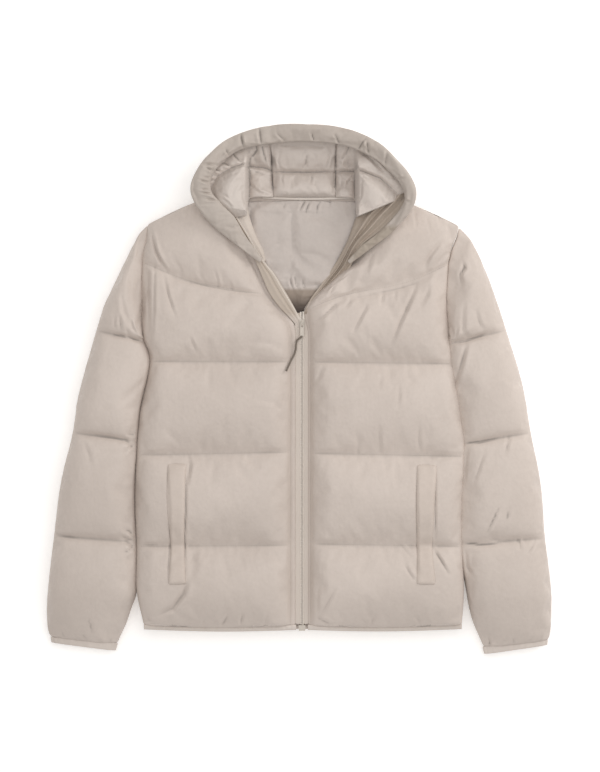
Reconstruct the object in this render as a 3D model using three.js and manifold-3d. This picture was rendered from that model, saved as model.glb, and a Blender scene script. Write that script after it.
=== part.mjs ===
// A hooded puffer jacket laid flat on its back, front zip open at the neck.
// Millimetres: +X to the right of the laid-out jacket, +Y towards the hood, +Z up from the
// surface it lies on. The origin is on the flat underside of the back, on the zip's line.
// Left and right are the wearer's, so the right front lies on the -X side.
import * as THREE from "three";
import { mergeVertices } from "three/addons/utils/BufferGeometryUtils.js";
import Module from "manifold-3d";

// Driving sizes
const SEAM_GAP = 0.4; // between two pieces that are sewn together
const LIE_GAP = 0.4; // between a piece and the piece that it lies on
const BACK_THICK = 30; // padded back, flat inside and flat underneath
const FRONT_BASE = BACK_THICK + LIE_GAP; // the fronts' plain inside
const EDGE_THICK = 4; // a panel where a seam pinches it
const BACK_EDGE_RADIUS = 30; // how far the back's edge rounds away
const FRONT_EDGE_RADIUS = 34; // how far a front rises from its side seam
const MARGIN_HEIGHT = 7; // flat stitched margin beside the zip, above FRONT_BASE
const MARGIN_RISE = 26; // over this width the padding swells beside the margin
const QUILT_POWER = 2.4; // how square a quilted channel's hump is
const HEM_Y = -378; // where the hem binding is sewn on
const BINDING_WIDTH = 8.5;
const WELT_LIFT = 3.2; // a pocket welt's thickness
const LINING_THICK = 1.4;
const TAPE_THICK = 1.4;
const TAPE_Z = FRONT_BASE + 3.6; // underside of the zip tape
const COIL_THICK = 3;
const SHOULDER_NECK = { x: 94, y: 324 }; // where a shoulder seam meets the hood
const SHOULDER_TIP_Y = 264.5; // where it meets the sleeve
const NECK_Y = 309; // back neck seam

const shell = { color: 0xc9bdb0, roughness: 0.62, metalness: 0 };
const inside = { color: 0xc4b8ad, roughness: 0.5, metalness: 0 };
const trim = { color: 0xbdb2a8, roughness: 0.75, metalness: 0 };
const cordColour = { color: 0x8f8478, roughness: 0.8, metalness: 0 };
const zipMetal = { color: 0xc8bfb4, roughness: 0.4, metalness: 0.4 };

// Value helpers
const lerp = (a, b, t) => a + (b - a) * t;
const clamp01 = (t) => Math.min(Math.max(t, 0), 1);
const ease = (t) => clamp01(t) ** 2 * (3 - 2 * clamp01(t));
// 0 at the edge, 1 from `radius` inwards, along a quarter circle.
const quarterRound = (distance, radius) => Math.sqrt(1 - (1 - clamp01(distance / radius)) ** 2);
// 0 at both ends of a channel and 1 in its middle.
const hump = (t, power = QUILT_POWER) => (1 - Math.abs(2 * t - 1) ** power) ** (1 / power);

// A table's column as a smooth curve through its rows, read at a place `at`.
function read(table, column, at) {
  let i = 0;
  while (i < table.length - 2 && at > table[i + 1].at) i++;
  const slope = (j) => {
    const before = table[Math.max(j - 1, 0)];
    const after = table[Math.min(j + 1, table.length - 1)];
    return (after[column] - before[column]) / (after.at - before.at);
  };
  const from = table[i];
  const to = table[i + 1];
  const span = to.at - from.at;
  const t = (at - from.at) / span;
  return (
    from[column] * (1 + 2 * t) * (1 - t) ** 2 +
    to[column] * t * t * (3 - 2 * t) +
    slope(i) * span * t * (1 - t) ** 2 -
    slope(i + 1) * span * t * t * (1 - t)
  );
}

// The places from `from` to `to` that a list of stops within each whole channel gives.
function places(from, to, stops) {
  const found = [];
  for (let channel = Math.floor(from); channel <= to; channel++)
    for (const stop of stops) {
      const at = channel + stop;
      if (at >= from && at <= to) found.push(at);
    }
  return found;
}

// A closed solid from two grids of points that match: `top` is seen from above. When
// `ring` is set, each row is a closed loop and `top` is its outside.
function wall(top, bottom, ring = false) {
  const rows = top.length;
  const columns = top[0].length;
  const positions = [...top.flat(), ...bottom.flat()].flat();
  const index = [];
  const under = rows * columns;
  const quad = (a, b, c, d) => index.push(a, b, c, a, c, d);
  const steps = ring ? columns : columns - 1;
  for (let i = 0; i < rows - 1; i++)
    for (let j = 0; j < steps; j++) {
      const k = (j + 1) % columns;
      const [a, b, c, d] = [i * columns + j, i * columns + k, (i + 1) * columns + k, (i + 1) * columns + j];
      quad(a, b, c, d);
      quad(under + d, under + c, under + b, under + a);
    }
  for (let j = 0; j < steps; j++) {
    const k = (j + 1) % columns;
    const last = (rows - 1) * columns;
    quad(j, under + j, under + k, k);
    quad(last + k, under + last + k, under + last + j, last + j);
  }
  if (!ring)
    for (let i = 0; i < rows - 1; i++) {
      const [a, b] = [i * columns, (i + 1) * columns];
      quad(b, under + b, under + a, a);
      quad(a + columns - 1, under + a + columns - 1, under + b + columns - 1, b + columns - 1);
    }
  const geometry = new THREE.BufferGeometry();
  geometry.setAttribute("position", new THREE.Float32BufferAttribute(positions, 3));
  geometry.setIndex(index);
  return geometry;
}

// The same solid whichever way round its rows run: a mirrored grid is read backwards.
function facingOut(top, bottom, ring = false) {
  const geometry = wall(top, bottom, ring);
  const p = geometry.attributes.position;
  const corners = [0, 1, 2].map(() => new THREE.Vector3());
  let volume = 0;
  for (let i = 0; i < geometry.index.count; i += 3) {
    corners.forEach((corner, k) => corner.fromBufferAttribute(p, geometry.index.getX(i + k)));
    volume += corners[0].dot(corners[1].clone().cross(corners[2]));
  }
  return volume > 0 ? geometry : wall(top.toReversed(), bottom.toReversed(), ring);
}

const jacket = new THREE.Group();
function add(name, geometry, look) {
  const mesh = new THREE.Mesh(geometry, new THREE.MeshStandardMaterial(look));
  mesh.name = name;
  jacket.add(mesh);
  return mesh;
}

// The two fronts. A row is a section from the side seam or armhole to the zip's edge.
// at: 0 hem, 1 2 3 quilting lines, 4 yoke line, 5 shoulder. dip and skew bow the section.
// puff is how far the channel stands above FRONT_BASE + EDGE_THICK.
const FRONT_RIGHT = [
  { at: 0, sideX: -254, sideY: HEM_Y + 3, edgeX: -9, edgeY: HEM_Y + 2, dip: 3, skew: 0, puff: 20 },
  { at: 0.5, sideX: -266, sideY: -318, edgeX: -9, edgeY: -314, dip: 0, skew: 0, puff: 27 },
  { at: 1, sideX: -266, sideY: -250, edgeX: -9, edgeY: -248, dip: 0, skew: 0, puff: 27 },
  { at: 1.5, sideX: -269, sideY: -176, edgeX: -9, edgeY: -174, dip: 0, skew: 0, puff: 28 },
  { at: 2, sideX: -266, sideY: -104, edgeX: -9, edgeY: -99, dip: 0, skew: 0, puff: 28 },
  { at: 2.5, sideX: -260, sideY: -32, edgeX: -9, edgeY: -28, dip: 0, skew: 0, puff: 28 },
  { at: 3, sideX: -245, sideY: 46, edgeX: -9, edgeY: 45, dip: 0, skew: 0, puff: 28 },
  { at: 3.35, sideX: -257, sideY: 90, edgeX: -10, edgeY: 100, dip: 2, skew: 0, puff: 27 },
  { at: 3.7, sideX: -259, sideY: 150, edgeX: -32, edgeY: 130, dip: 6, skew: 0, puff: 25 },
  { at: 4, sideX: -258, sideY: 206, edgeX: -50, edgeY: 154, dip: 13, skew: 0, puff: 24 },
  { at: 4.3, sideX: -255, sideY: 226, edgeX: -68, edgeY: 196, dip: 8, skew: 0, puff: 21 },
  { at: 4.6, sideX: -251, sideY: 241, edgeX: -82, edgeY: 232, dip: 3, skew: 0, puff: 19 },
  { at: 5, sideX: -246, sideY: 266, edgeX: -SHOULDER_NECK.x, edgeY: SHOULDER_NECK.y, dip: -7, skew: 0, puff: 14 },
];
const FRONT_LEFT = [
  { at: 0, sideX: 254, sideY: HEM_Y + 3, edgeX: 9, edgeY: HEM_Y + 2, dip: 3, skew: 0, puff: 20 },
  { at: 0.5, sideX: 260, sideY: -318, edgeX: 9, edgeY: -314, dip: 0, skew: 0, puff: 27 },
  { at: 1, sideX: 257, sideY: -250, edgeX: 9, edgeY: -246, dip: 0, skew: 0, puff: 27 },
  { at: 1.5, sideX: 259, sideY: -176, edgeX: 9, edgeY: -174, dip: 0, skew: 0, puff: 28 },
  { at: 2, sideX: 262, sideY: -106, edgeX: 9, edgeY: -101, dip: 0, skew: 0, puff: 28 },
  { at: 2.5, sideX: 256, sideY: -32, edgeX: 9, edgeY: -28, dip: 0, skew: 0, puff: 28 },
  { at: 3, sideX: 243, sideY: 42, edgeX: 9, edgeY: 45, dip: 0, skew: 0, puff: 28 },
  { at: 3.35, sideX: 236, sideY: 92, edgeX: 9, edgeY: 68, dip: 0, skew: 2, puff: 27 },
  { at: 3.7, sideX: 233, sideY: 148, edgeX: 9.4, edgeY: 90, dip: 1, skew: 6, puff: 25 },
  { at: 4, sideX: 235, sideY: 202, edgeX: 10.5, edgeY: 112, dip: 2, skew: 9, puff: 24 },
  { at: 4.3, sideX: 239, sideY: 222, edgeX: 26, edgeY: 158, dip: 1, skew: 4, puff: 21 },
  { at: 4.6, sideX: 244, sideY: 238, edgeX: 78, edgeY: 196, dip: 0, skew: 2, puff: 19 },
  { at: 5, sideX: 251, sideY: 263, edgeX: SHOULDER_NECK.x, edgeY: SHOULDER_NECK.y, dip: -6, skew: 0, puff: 14 },
];
// How deep each quilting line sinks, as a share of the puff: hem, three lines, yoke, shoulder.
const LINE_DEPTH = [0.75, 0.5, 0.5, 0.5, 0.42, 0.85];
const MARGIN_WIDTH = { right: 9.5, left: 5 };

// A point of a front's outside. u runs from the side seam, 0, to the zip's edge, 1.
function frontPoint(table, margin, u, at) {
  const value = (column) => read(table, column, at);
  const x = lerp(value("sideX"), value("edgeX"), u);
  const bow = value("dip") * Math.sin(Math.PI * u) + value("skew") * Math.sin(2 * Math.PI * u);
  const y = lerp(value("sideY"), value("edgeY"), u) - bow;
  const width = Math.abs(value("edgeX") - value("sideX"));
  const fromSide = u * width;
  const fromEdge = (1 - u) * width;
  const channel = Math.min(Math.floor(at), LINE_DEPTH.length - 2);
  const t = at - channel;
  const sunk = lerp(LINE_DEPTH[channel], LINE_DEPTH[channel + 1], ease(t)) * (1 - hump(t));
  const sideRise = quarterRound(fromSide, FRONT_EDGE_RADIUS);
  const edgeRise = fromEdge <= margin ? 0 : quarterRound(fromEdge - margin, MARGIN_RISE);
  const lift = EDGE_THICK + value("puff") * (1 - sunk);
  const z = lerp(EDGE_THICK, lerp(MARGIN_HEIGHT, lift, edgeRise), sideRise);
  return [x, y, FRONT_BASE + z];
}

const CHANNEL_STOPS = [0, 0.1, 0.3, 0.7, 0.9];
const WELT = { from: 0.55, to: 1.9, right: [0.205, 0.32], left: [0.185, 0.31] };
const FRONT_COLUMNS = { before: [0, 0.02, 0.06, 0.12], after: [0.5, 0.7, 0.86, 0.93] };

// The columns end with the stitched margin: its fold line, then the zip's edge.
function frontColumns(margin, welt) {
  const width = 250;
  return [...FRONT_COLUMNS.before, ...welt, ...FRONT_COLUMNS.after, 1 - margin / width, 1];
}

function frontGrid(table, margin, rows, columns, lift) {
  return rows.map((at) =>
    columns.map((u) => {
      const [x, y, z] = frontPoint(table, margin, u, at);
      return [x, y, z + lift];
    }),
  );
}

const NECK_STOPS = [3.45, 3.6, 4.2, 4.25, 4.4, 4.5, 4.6, 4.8]; // more rows where the neck edge bends
const frontStops = [...places(0, 5, CHANNEL_STOPS), WELT.from, WELT.to, ...NECK_STOPS];
const frontRows = [...new Set(frontStops)].sort((a, b) => a - b);
function frontPanel(name, table, margin, welt) {
  const top = frontGrid(table, margin, frontRows, frontColumns(margin, welt), 0);
  const bottom = top.map((row) => row.map(([x, y]) => [x, y, FRONT_BASE]));
  add(name, facingOut(top, bottom), shell);
}
frontPanel("front_right_panel", FRONT_RIGHT, MARGIN_WIDTH.right, WELT.right);
frontPanel("front_left_panel", FRONT_LEFT, MARGIN_WIDTH.left, WELT.left);

// A pocket welt lies on the front's own points, moved out.
function pocketWelt(name, table, margin, columns) {
  const rows = frontRows.filter((at) => at >= WELT.from && at <= WELT.to);
  const bottom = frontGrid(table, margin, rows, columns, LIE_GAP);
  const top = frontGrid(table, margin, rows, columns, LIE_GAP + WELT_LIFT);
  add(name, facingOut(top, bottom), shell);
}
pocketWelt("pocket_welt_right", FRONT_RIGHT, MARGIN_WIDTH.right, WELT.right);
pocketWelt("pocket_welt_left", FRONT_LEFT, MARGIN_WIDTH.left, WELT.left);

// The back: the two side tables give its width, and it lies flat between them.
const BACK_COLUMNS = [0, 0.015, 0.045, 0.1, 0.2, 0.315, 0.385, 0.5, 0.615, 0.685, 0.8, 0.9, 0.955, 0.985, 1];
const BACK_ROWS = [0, 0.03, 0.1, 0.3, 0.7, 1, 1.3, 1.7, 2, 2.3, 2.7, 2.9, 3, 3.1, 3.3, 3.7, 3.9, 4, 4.1, 4.3, 4.7, 4.9, 5];
const SHOULDER_SHAPE = [
  { at: 0, rise: 0 },
  { at: 0.1, rise: 0.34 },
  { at: 0.315, rise: 1 },
  { at: 0.385, rise: 0.772 },
  { at: 0.615, rise: 0.772 },
  { at: 0.685, rise: 1 },
  { at: 0.9, rise: 0.34 },
  { at: 1, rise: 0 },
];
function backPoint(u, at) {
  const x = lerp(read(FRONT_RIGHT, "sideX", at), read(FRONT_LEFT, "sideX", at), u);
  const level = lerp(read(FRONT_RIGHT, "sideY", at), read(FRONT_LEFT, "sideY", at), u);
  const shoulderRise = SHOULDER_NECK.y - SHOULDER_TIP_Y;
  const y = level + read(SHOULDER_SHAPE, "rise", u) * shoulderRise * ease(at - 4);
  const width = 510;
  const sideGap = Math.min(u, 1 - u) * width;
  const hemGap = y - HEM_Y;
  const topGap = (5 - at) * 60;
  const rise = [sideGap, hemGap, topGap].map((gap) => quarterRound(gap, BACK_EDGE_RADIUS));
  return [x, y, (BACK_THICK - EDGE_THICK) * (1 - Math.min(...rise))];
}
const backUnder = BACK_ROWS.map((at) => BACK_COLUMNS.map((u) => backPoint(u, at)));
const backInside = backUnder.map((row) => row.map(([x, y]) => [x, y, BACK_THICK]));
add("back_panel", facingOut(backInside, backUnder), shell);

// The x of a front's side or armhole edge at a height y.
function sideAt(table, y) {
  let low = 0;
  let high = 5;
  for (let step = 0; step < 30; step++) {
    const middle = (low + high) / 2;
    if (read(table, "sideY", middle) < y) low = middle;
    else high = middle;
  }
  return read(table, "sideX", low);
}

// The sleeves. A row is a ring across the sleeve, from its outer edge to its inner edge,
// which lies `clear` beside the body. at: 0 armhole, 1 2 3 quilting lines, 4 cuff.
// middle is the height of the two edges, top and under how far the ring swells from there.
const SLEEVE_RIGHT = [
  { at: 0, outerX: -247.5, outerY: 267, innerY: 86, clear: 1.6, middle: 31, top: 10, under: 16, inset: 6 },
  { at: 0.25, outerX: -272, outerY: 236, innerY: 84, clear: 1.6, middle: 31, top: 24, under: 30, inset: 16 },
  { at: 0.5, outerX: -297, outerY: 183, innerY: 82, clear: 1.6, middle: 31, top: 31, under: 38, inset: 22 },
  { at: 0.75, outerX: -317, outerY: 136, innerY: 80, clear: 1.6, middle: 31, top: 33, under: 38, inset: 22 },
  { at: 1, outerX: -330, outerY: 96, innerY: 77, clear: 1.6, middle: 31, top: 34, under: 38, inset: 22 },
  { at: 1.5, outerX: -358, outerY: -5, innerY: -2, clear: 1.6, middle: 31, top: 34, under: 38, inset: 22 },
  { at: 2, outerX: -368, outerY: -68, innerY: -82, clear: 1.6, middle: 31, top: 33, under: 38, inset: 22 },
  { at: 2.5, outerX: -387, outerY: -148, innerY: -160, clear: 1.6, middle: 31, top: 33, under: 38, inset: 22 },
  { at: 3, outerX: -398, outerY: -233, innerY: -243, clear: 1.6, middle: 30, top: 32, under: 38, inset: 22 },
  { at: 3.5, outerX: -408, outerY: -318, innerY: -322, clear: 4, middle: 27, top: 30, under: 36, inset: 18 },
  { at: 3.75, outerX: -410.5, outerY: -358, innerY: -360, clear: 19, middle: 20, top: 24, under: 30, inset: 14 },
  { at: 4, outerX: -408, outerY: -392, innerY: -403, clear: 40, middle: 12, top: 9, under: 12, inset: 6 },
];
const SLEEVE_LEFT = [
  { at: 0, outerX: 252, outerY: 263, innerY: 84, clear: 1.6, middle: 31, top: 10, under: 16, inset: 6 },
  { at: 0.25, outerX: 272, outerY: 236, innerY: 82, clear: 1.6, middle: 31, top: 24, under: 30, inset: 16 },
  { at: 0.5, outerX: 292, outerY: 190, innerY: 80, clear: 1.6, middle: 31, top: 31, under: 38, inset: 22 },
  { at: 0.75, outerX: 310, outerY: 139, innerY: 77, clear: 1.6, middle: 31, top: 33, under: 38, inset: 22 },
  { at: 1, outerX: 324, outerY: 96, innerY: 73, clear: 1.6, middle: 31, top: 34, under: 38, inset: 22 },
  { at: 1.5, outerX: 349, outerY: 12, innerY: -4, clear: 1.6, middle: 31, top: 34, under: 38, inset: 22 },
  { at: 2, outerX: 363, outerY: -68, innerY: -87, clear: 1.6, middle: 31, top: 33, under: 38, inset: 22 },
  { at: 2.5, outerX: 379, outerY: -150, innerY: -164, clear: 1.6, middle: 31, top: 33, under: 38, inset: 22 },
  { at: 3, outerX: 386, outerY: -237, innerY: -247, clear: 1.6, middle: 30, top: 32, under: 38, inset: 22 },
  { at: 3.5, outerX: 396.5, outerY: -318, innerY: -326, clear: 4, middle: 27, top: 30, under: 36, inset: 18 },
  { at: 3.75, outerX: 398.5, outerY: -358, innerY: -366, clear: 15, middle: 20, top: 24, under: 30, inset: 14 },
  { at: 4, outerX: 398, outerY: -398, innerY: -410, clear: 33, middle: 12, top: 9, under: 12, inset: 6 },
];
const SLEEVE_LINE_DEPTH = [0, 0.42, 0.45, 0.45, 0];
const SLEEVE_STOPS = [0, 0.12, 0.35, 0.65, 0.88];
const RING_POINTS = 18;
const RING_POWER = 0.8; // how square a sleeve's ring is
const SLIT_HALF = 1.2; // half the height of the flattened hollow inside a sleeve

const bulge = (t) => Math.sign(t) * Math.abs(t) ** RING_POWER;

// One point of a sleeve. share is 1 on the outside and 0 on the wall of the flat hollow.
function sleevePoint(table, body, side, at, angle, share) {
  const value = (column) => read(table, column, at);
  const innerX = sideAt(body, value("innerY")) + side * value("clear");
  const width = Math.hypot(value("outerX") - innerX, value("outerY") - value("innerY"));
  const inset = share ? 0 : value("inset") / width;
  const across = 0.5 - 0.5 * bulge(Math.cos(angle)) * (1 - 2 * inset);
  const first = { x: table[0].outerX, y: table[0].outerY };
  const last = { x: sideAt(body, table[0].innerY) + side * table[0].clear, y: table[0].innerY };
  const armholeY = lerp(first.y, last.y, across);
  const armholeBow = sideAt(body, armholeY) + side * table[0].clear - lerp(first.x, last.x, across);
  const fade = 1 - ease(at / 0.9);
  const x = lerp(value("outerX"), innerX, across) + fade * armholeBow;
  const y = lerp(value("outerY"), value("innerY"), across);
  const channel = Math.min(Math.floor(at), SLEEVE_LINE_DEPTH.length - 2);
  const t = at - channel;
  const sunk = lerp(SLEEVE_LINE_DEPTH[channel], SLEEVE_LINE_DEPTH[channel + 1], ease(t)) * (1 - hump(t));
  const height = bulge(Math.sin(angle));
  const swell = height > 0 ? value("top") * (1 - sunk) : value("under");
  const z = value("middle") + height * (share ? swell : SLIT_HALF);
  return [x, y, Math.max(z, 0)];
}

function sleeve(name, table, body, side) {
  const rings = (share) =>
    [...places(0, 4, SLEEVE_STOPS)].map((at) =>
      Array.from({ length: RING_POINTS }, (_, j) =>
        sleevePoint(table, body, side, at, (2 * Math.PI * j) / RING_POINTS, share),
      ),
    );
  add(name, facingOut(rings(1), rings(0), true), shell);
}
sleeve("sleeve_right", SLEEVE_RIGHT, FRONT_RIGHT, -1);
sleeve("sleeve_left", SLEEVE_LEFT, FRONT_LEFT, 1);

// The elastic binding round each cuff: gathered thick, with the same flat hollow through it.
const CUFF_RIGHT = [
  { at: 0, outerX: -404, outerY: -392.9, innerX: -298, innerY: -404.1, half: 8 },
  { at: 1, outerX: -402.5, outerY: -403, innerX: -301.5, innerY: -418, half: 7 },
];
const CUFF_LEFT = [
  { at: 0, outerX: 394, outerY: -398.9, innerX: 291, innerY: -410.3, half: 8 },
  { at: 1, outerX: 392, outerY: -408.5, innerX: 294.5, innerY: -423.5, half: 7 },
];
const CUFF_MIDDLE = 12;
const CUFF_INSET = 6;
function cuffBinding(name, table) {
  const rings = (wallShare) =>
    [0, 0.5, 1].map((at) =>
      Array.from({ length: RING_POINTS }, (_, j) => {
        const value = (column) => read(table, column, at);
        const angle = (2 * Math.PI * j) / RING_POINTS;
        const width = Math.hypot(value("outerX") - value("innerX"), value("outerY") - value("innerY"));
        const across = 0.5 - 0.5 * bulge(Math.cos(angle)) * (1 - (2 * CUFF_INSET * wallShare) / width);
        const half = wallShare ? SLIT_HALF : value("half");
        return [
          lerp(value("outerX"), value("innerX"), across),
          lerp(value("outerY"), value("innerY"), across),
          CUFF_MIDDLE + half * bulge(Math.sin(angle)),
        ];
      }),
    );
  add(name, facingOut(rings(0), rings(1), true), trim);
}
cuffBinding("cuff_binding_right", CUFF_RIGHT);
cuffBinding("cuff_binding_left", CUFF_LEFT);

// The hood's padded edge: a roll round the face opening. at runs from its lower right end
// over the crown to its lower left end. low and high are the roll's underside and top.
const BAND = [
  { at: 0, outX: -67, outY: 203, inX: -63, inY: 209, low: 50, high: 56 },
  { at: 1, outX: -106, outY: 232, inX: -90, inY: 246, low: 57, high: 66 },
  { at: 2, outX: -143, outY: 262, inX: -107, inY: 275, low: 60, high: 75 },
  { at: 3, outX: -169, outY: 294, inX: -129, inY: 298, low: 62, high: 82 },
  { at: 4, outX: -178, outY: 320, inX: -144, inY: 317, low: 62, high: 87 },
  { at: 5, outX: -170, outY: 346, inX: -143, inY: 340, low: 60, high: 87 },
  { at: 6, outX: -151, outY: 373, inX: -126, inY: 363, low: 56, high: 84 },
  { at: 7, outX: -116, outY: 400, inX: -97, inY: 383, low: 52, high: 79 },
  { at: 8, outX: -65, outY: 418, inX: -50, inY: 392, low: 50, high: 76 },
  { at: 9, outX: 0, outY: 424, inX: 2, inY: 396, low: 50, high: 76 },
  { at: 10, outX: 68, outY: 416, inX: 64, inY: 390, low: 52, high: 78 },
  { at: 11, outX: 118, outY: 395, inX: 109, inY: 372, low: 56, high: 82 },
  { at: 12, outX: 153, outY: 365, inX: 138, inY: 349, low: 59, high: 86 },
  { at: 13, outX: 175, outY: 336, inX: 157, inY: 327, low: 61, high: 88 },
  { at: 14, outX: 182, outY: 310, inX: 163, inY: 306, low: 62, high: 88 },
  { at: 15, outX: 172, outY: 283, inX: 155, inY: 287, low: 61, high: 82 },
  { at: 16, outX: 143, outY: 251, inX: 130, inY: 258, low: 59, high: 72 },
  { at: 17, outX: 105, outY: 222, inX: 96, inY: 231, low: 57, high: 64 },
  { at: 18, outX: 76, outY: 201, inX: 72, inY: 206, low: 50, high: 55 },
];
const BAND_POINTS = 10;
const BAND_STEPS = 54;
function bandRing(at, points) {
  const value = (column) => read(BAND, column, at);
  return Array.from({ length: points }, (_, j) => {
    const angle = (2 * Math.PI * j) / points;
    const across = 0.5 - 0.5 * bulge(Math.cos(angle));
    const middle = (value("low") + value("high")) / 2;
    const half = (value("high") - value("low")) / 2;
    return [
      lerp(value("inX"), value("outX"), across),
      lerp(value("inY"), value("outY"), across),
      middle + half * bulge(Math.sin(angle)),
    ];
  });
}
// A closed roll through rings, its ends closed by a point in the middle of each end ring.
function roll(rings) {
  const points = rings[0].length;
  const middle = (ring) => [0, 1, 2].map((k) => ring.reduce((sum, p) => sum + p[k], 0) / points);
  const positions = [...rings.flat(), middle(rings[0]), middle(rings.at(-1))].flat();
  const startCap = rings.length * points;
  const index = [];
  for (let j = 0; j < points; j++) {
    const k = (j + 1) % points;
    for (let i = 0; i < rings.length - 1; i++) {
      const [a, b, c, d] = [i * points + j, i * points + k, (i + 1) * points + k, (i + 1) * points + j];
      index.push(a, b, c, a, c, d);
    }
    const last = (rings.length - 1) * points;
    index.push(startCap, k, j, startCap + 1, last + j, last + k);
  }
  const geometry = new THREE.BufferGeometry();
  geometry.setAttribute("position", new THREE.Float32BufferAttribute(positions, 3));
  geometry.setIndex(index);
  return geometry;
}
function volumeOf(geometry) {
  const p = geometry.attributes.position;
  const corners = [0, 1, 2].map(() => new THREE.Vector3());
  let volume = 0;
  for (let i = 0; i < geometry.index.count; i += 3) {
    corners.forEach((corner, k) => corner.fromBufferAttribute(p, geometry.index.getX(i + k)));
    volume += corners[0].dot(corners[1].clone().cross(corners[2])) / 6;
  }
  return volume;
}
function rollFacingOut(rings) {
  const made = roll(rings);
  return volumeOf(made) > 0 ? made : roll(rings.toReversed());
}
const steps = (count, from = 0, to = 1) =>
  Array.from({ length: count + 1 }, (_, i) => lerp(from, to, i / count));
add("hood_band", rollFacingOut(steps(BAND_STEPS, 0, 18).map((at) => bandRing(at, BAND_POINTS))), shell);

// The hood's three quilted panels fall from under the roll to the neck seam. The back one
// lies on the surface. The side ones climb over the shoulders beside the neck.
const CENTRE_SEAM = { right: -46, left: 54 };
const SEAM_PLACE = { right: 8.07, left: 9.84 }; // where those seams meet the roll
const SHOULDER_REST = 56; // a side panel's underside over the shoulders
const RIM_THICK = 6;
const HOOD_EDGE_RADIUS = 40;
const HOOD_WALL_RUN = 46; // how far from the roll the inside slopes
const HOOD_CLIMB = { right: -58, left: 59, run: 18 }; // where a side panel climbs on the shoulder
const HOOD_LINES = {
  right: [[-46, 350], [-88, 360], [-104, 359], [-133, 344]],
  left: [[54, 349], [88, 352], [112, 340], [150, 318]],
};
const HOOD_LINE_WIDTH = 15;
const HOOD_LINE_DEPTH = 10;

function distanceToLine(x, y, line) {
  let nearest = Infinity;
  for (let i = 0; i < line.length - 1; i++) {
    const [ax, ay] = line[i];
    const [bx, by] = line[i + 1];
    const along = clamp01(((x - ax) * (bx - ax) + (y - ay) * (by - ay)) / ((bx - ax) ** 2 + (by - ay) ** 2));
    nearest = Math.min(nearest, Math.hypot(x - lerp(ax, bx, along), y - lerp(ay, by, along)));
  }
  return nearest;
}
// How high the surface under a side panel is: the shoulder, or the floor beyond it.
function restHeight(side, x, y) {
  if (!side) return 0;
  const beyond = side === "right" ? HOOD_CLIMB.right - x : x - HOOD_CLIMB.left;
  return SHOULDER_REST * ease(beyond / HOOD_CLIMB.run) * ease((372 - y) / 40);
}
function hoodPanel(name, side, bandFrom, bandTo, neck, columns, rows) {
  const grid = (isInside) =>
    columns.map((u) => {
      const at = lerp(bandFrom, bandTo, u);
      const low = read(BAND, "low", at);
      const across = isInside ? 0.4 : 0.74;
      const rimX = lerp(read(BAND, "inX", at), read(BAND, "outX", at), across);
      const rimY = lerp(read(BAND, "inY", at), read(BAND, "outY", at), across);
      const end = { x: read(neck, "x", u), y: read(neck, "y", u), floor: read(neck, "floor", u) };
      const length = Math.hypot(rimX - end.x, rimY - end.y);
      return rows.map((v) => {
        const x = lerp(rimX, end.x, v);
        const y = lerp(rimY, end.y, v);
        const rest = restHeight(side, x, y);
        const rimTop = low - LIE_GAP;
        const edgeRise = Math.min(1, (Math.min(u, 1 - u) * 160 + 5) / 26);
        const quilt = HOOD_LINE_DEPTH * Math.exp(-((distanceToLine(x, y, HOOD_LINES[side || "right"]) / HOOD_LINE_WIDTH) ** 2));
        const floor = Math.max(rest + 6, end.floor - 8) + 10 * quarterRound(edgeRise, 1) - (side ? quilt : 0);
        const slope = 1 - ease((v * length) / HOOD_WALL_RUN);
        const inside = side ? lerp(floor, rimTop, slope) : centreInside(v, length, rimTop, u);
        if (isInside) return [x, y, inside];
        const under = (rimTop - RIM_THICK) * (1 - quarterRound(v * length, HOOD_EDGE_RADIUS));
        return [x, y, Math.min(Math.max(rest, under), inside - 3)];
      });
    });
  add(name, facingOut(grid(true), grid(false)), inside);
}
// The back panel's inside: two quilted channels between the neck seam and the crown.
function centreInside(v, length, rimTop, u) {
  const fromNeck = (1 - v) * length;
  const channel = 41;
  const t = (fromNeck / channel) % 1;
  const puff = fromNeck < 2 * channel ? 13 * hump(t, 2) : 0;
  const sides = quarterRound(Math.min(u, 1 - u), 0.16);
  const base = lerp(27, 17, ease(fromNeck / channel));
  return lerp(base + puff * (0.35 + 0.65 * sides), rimTop, 1 - ease((v * length) / HOOD_WALL_RUN));
}
const NECK_CENTRE = [
  { at: 0, x: CENTRE_SEAM.right + SEAM_GAP, y: NECK_Y + 2, floor: 27 },
  { at: 1, x: CENTRE_SEAM.left - SEAM_GAP, y: NECK_Y + 2, floor: 27 },
];
const NECK_RIGHT = [
  { at: 0, x: CENTRE_SEAM.right, y: NECK_Y + 2, floor: 27 },
  { at: 0.25, x: -60, y: 314.5, floor: 27 },
  { at: 0.38, x: -68, y: 319, floor: 34 },
  { at: 0.5, x: -77, y: 322, floor: 60 },
  { at: 0.68, x: -90, y: 312, floor: 62 },
  { at: 0.85, x: -93, y: 297, floor: 62 },
  { at: 1, x: -94, y: 281, floor: 62 },
];
const NECK_LEFT = [
  { at: 0, x: CENTRE_SEAM.left, y: NECK_Y + 2, floor: 27 },
  { at: 0.15, x: 62, y: 313.5, floor: 27 },
  { at: 0.28, x: 69, y: 318, floor: 34 },
  { at: 0.4, x: 78, y: 322, floor: 60 },
  { at: 0.6, x: 90, y: 310, floor: 62 },
  { at: 0.8, x: 91, y: 294, floor: 62 },
  { at: 1, x: 91, y: 279, floor: 62 },
];
const HOOD_ROWS = [0, 0.12, 0.25, 0.38, 0.5, 0.62, 0.75, 0.88, 1];
hoodPanel("hood_centre_panel", null, SEAM_PLACE.right + 0.03, SEAM_PLACE.left - 0.03, NECK_CENTRE, steps(8), [0, 0.1, 0.2, 0.32, 0.42, 0.52, 0.62, 0.74, 0.86, 0.95, 1]);
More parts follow.
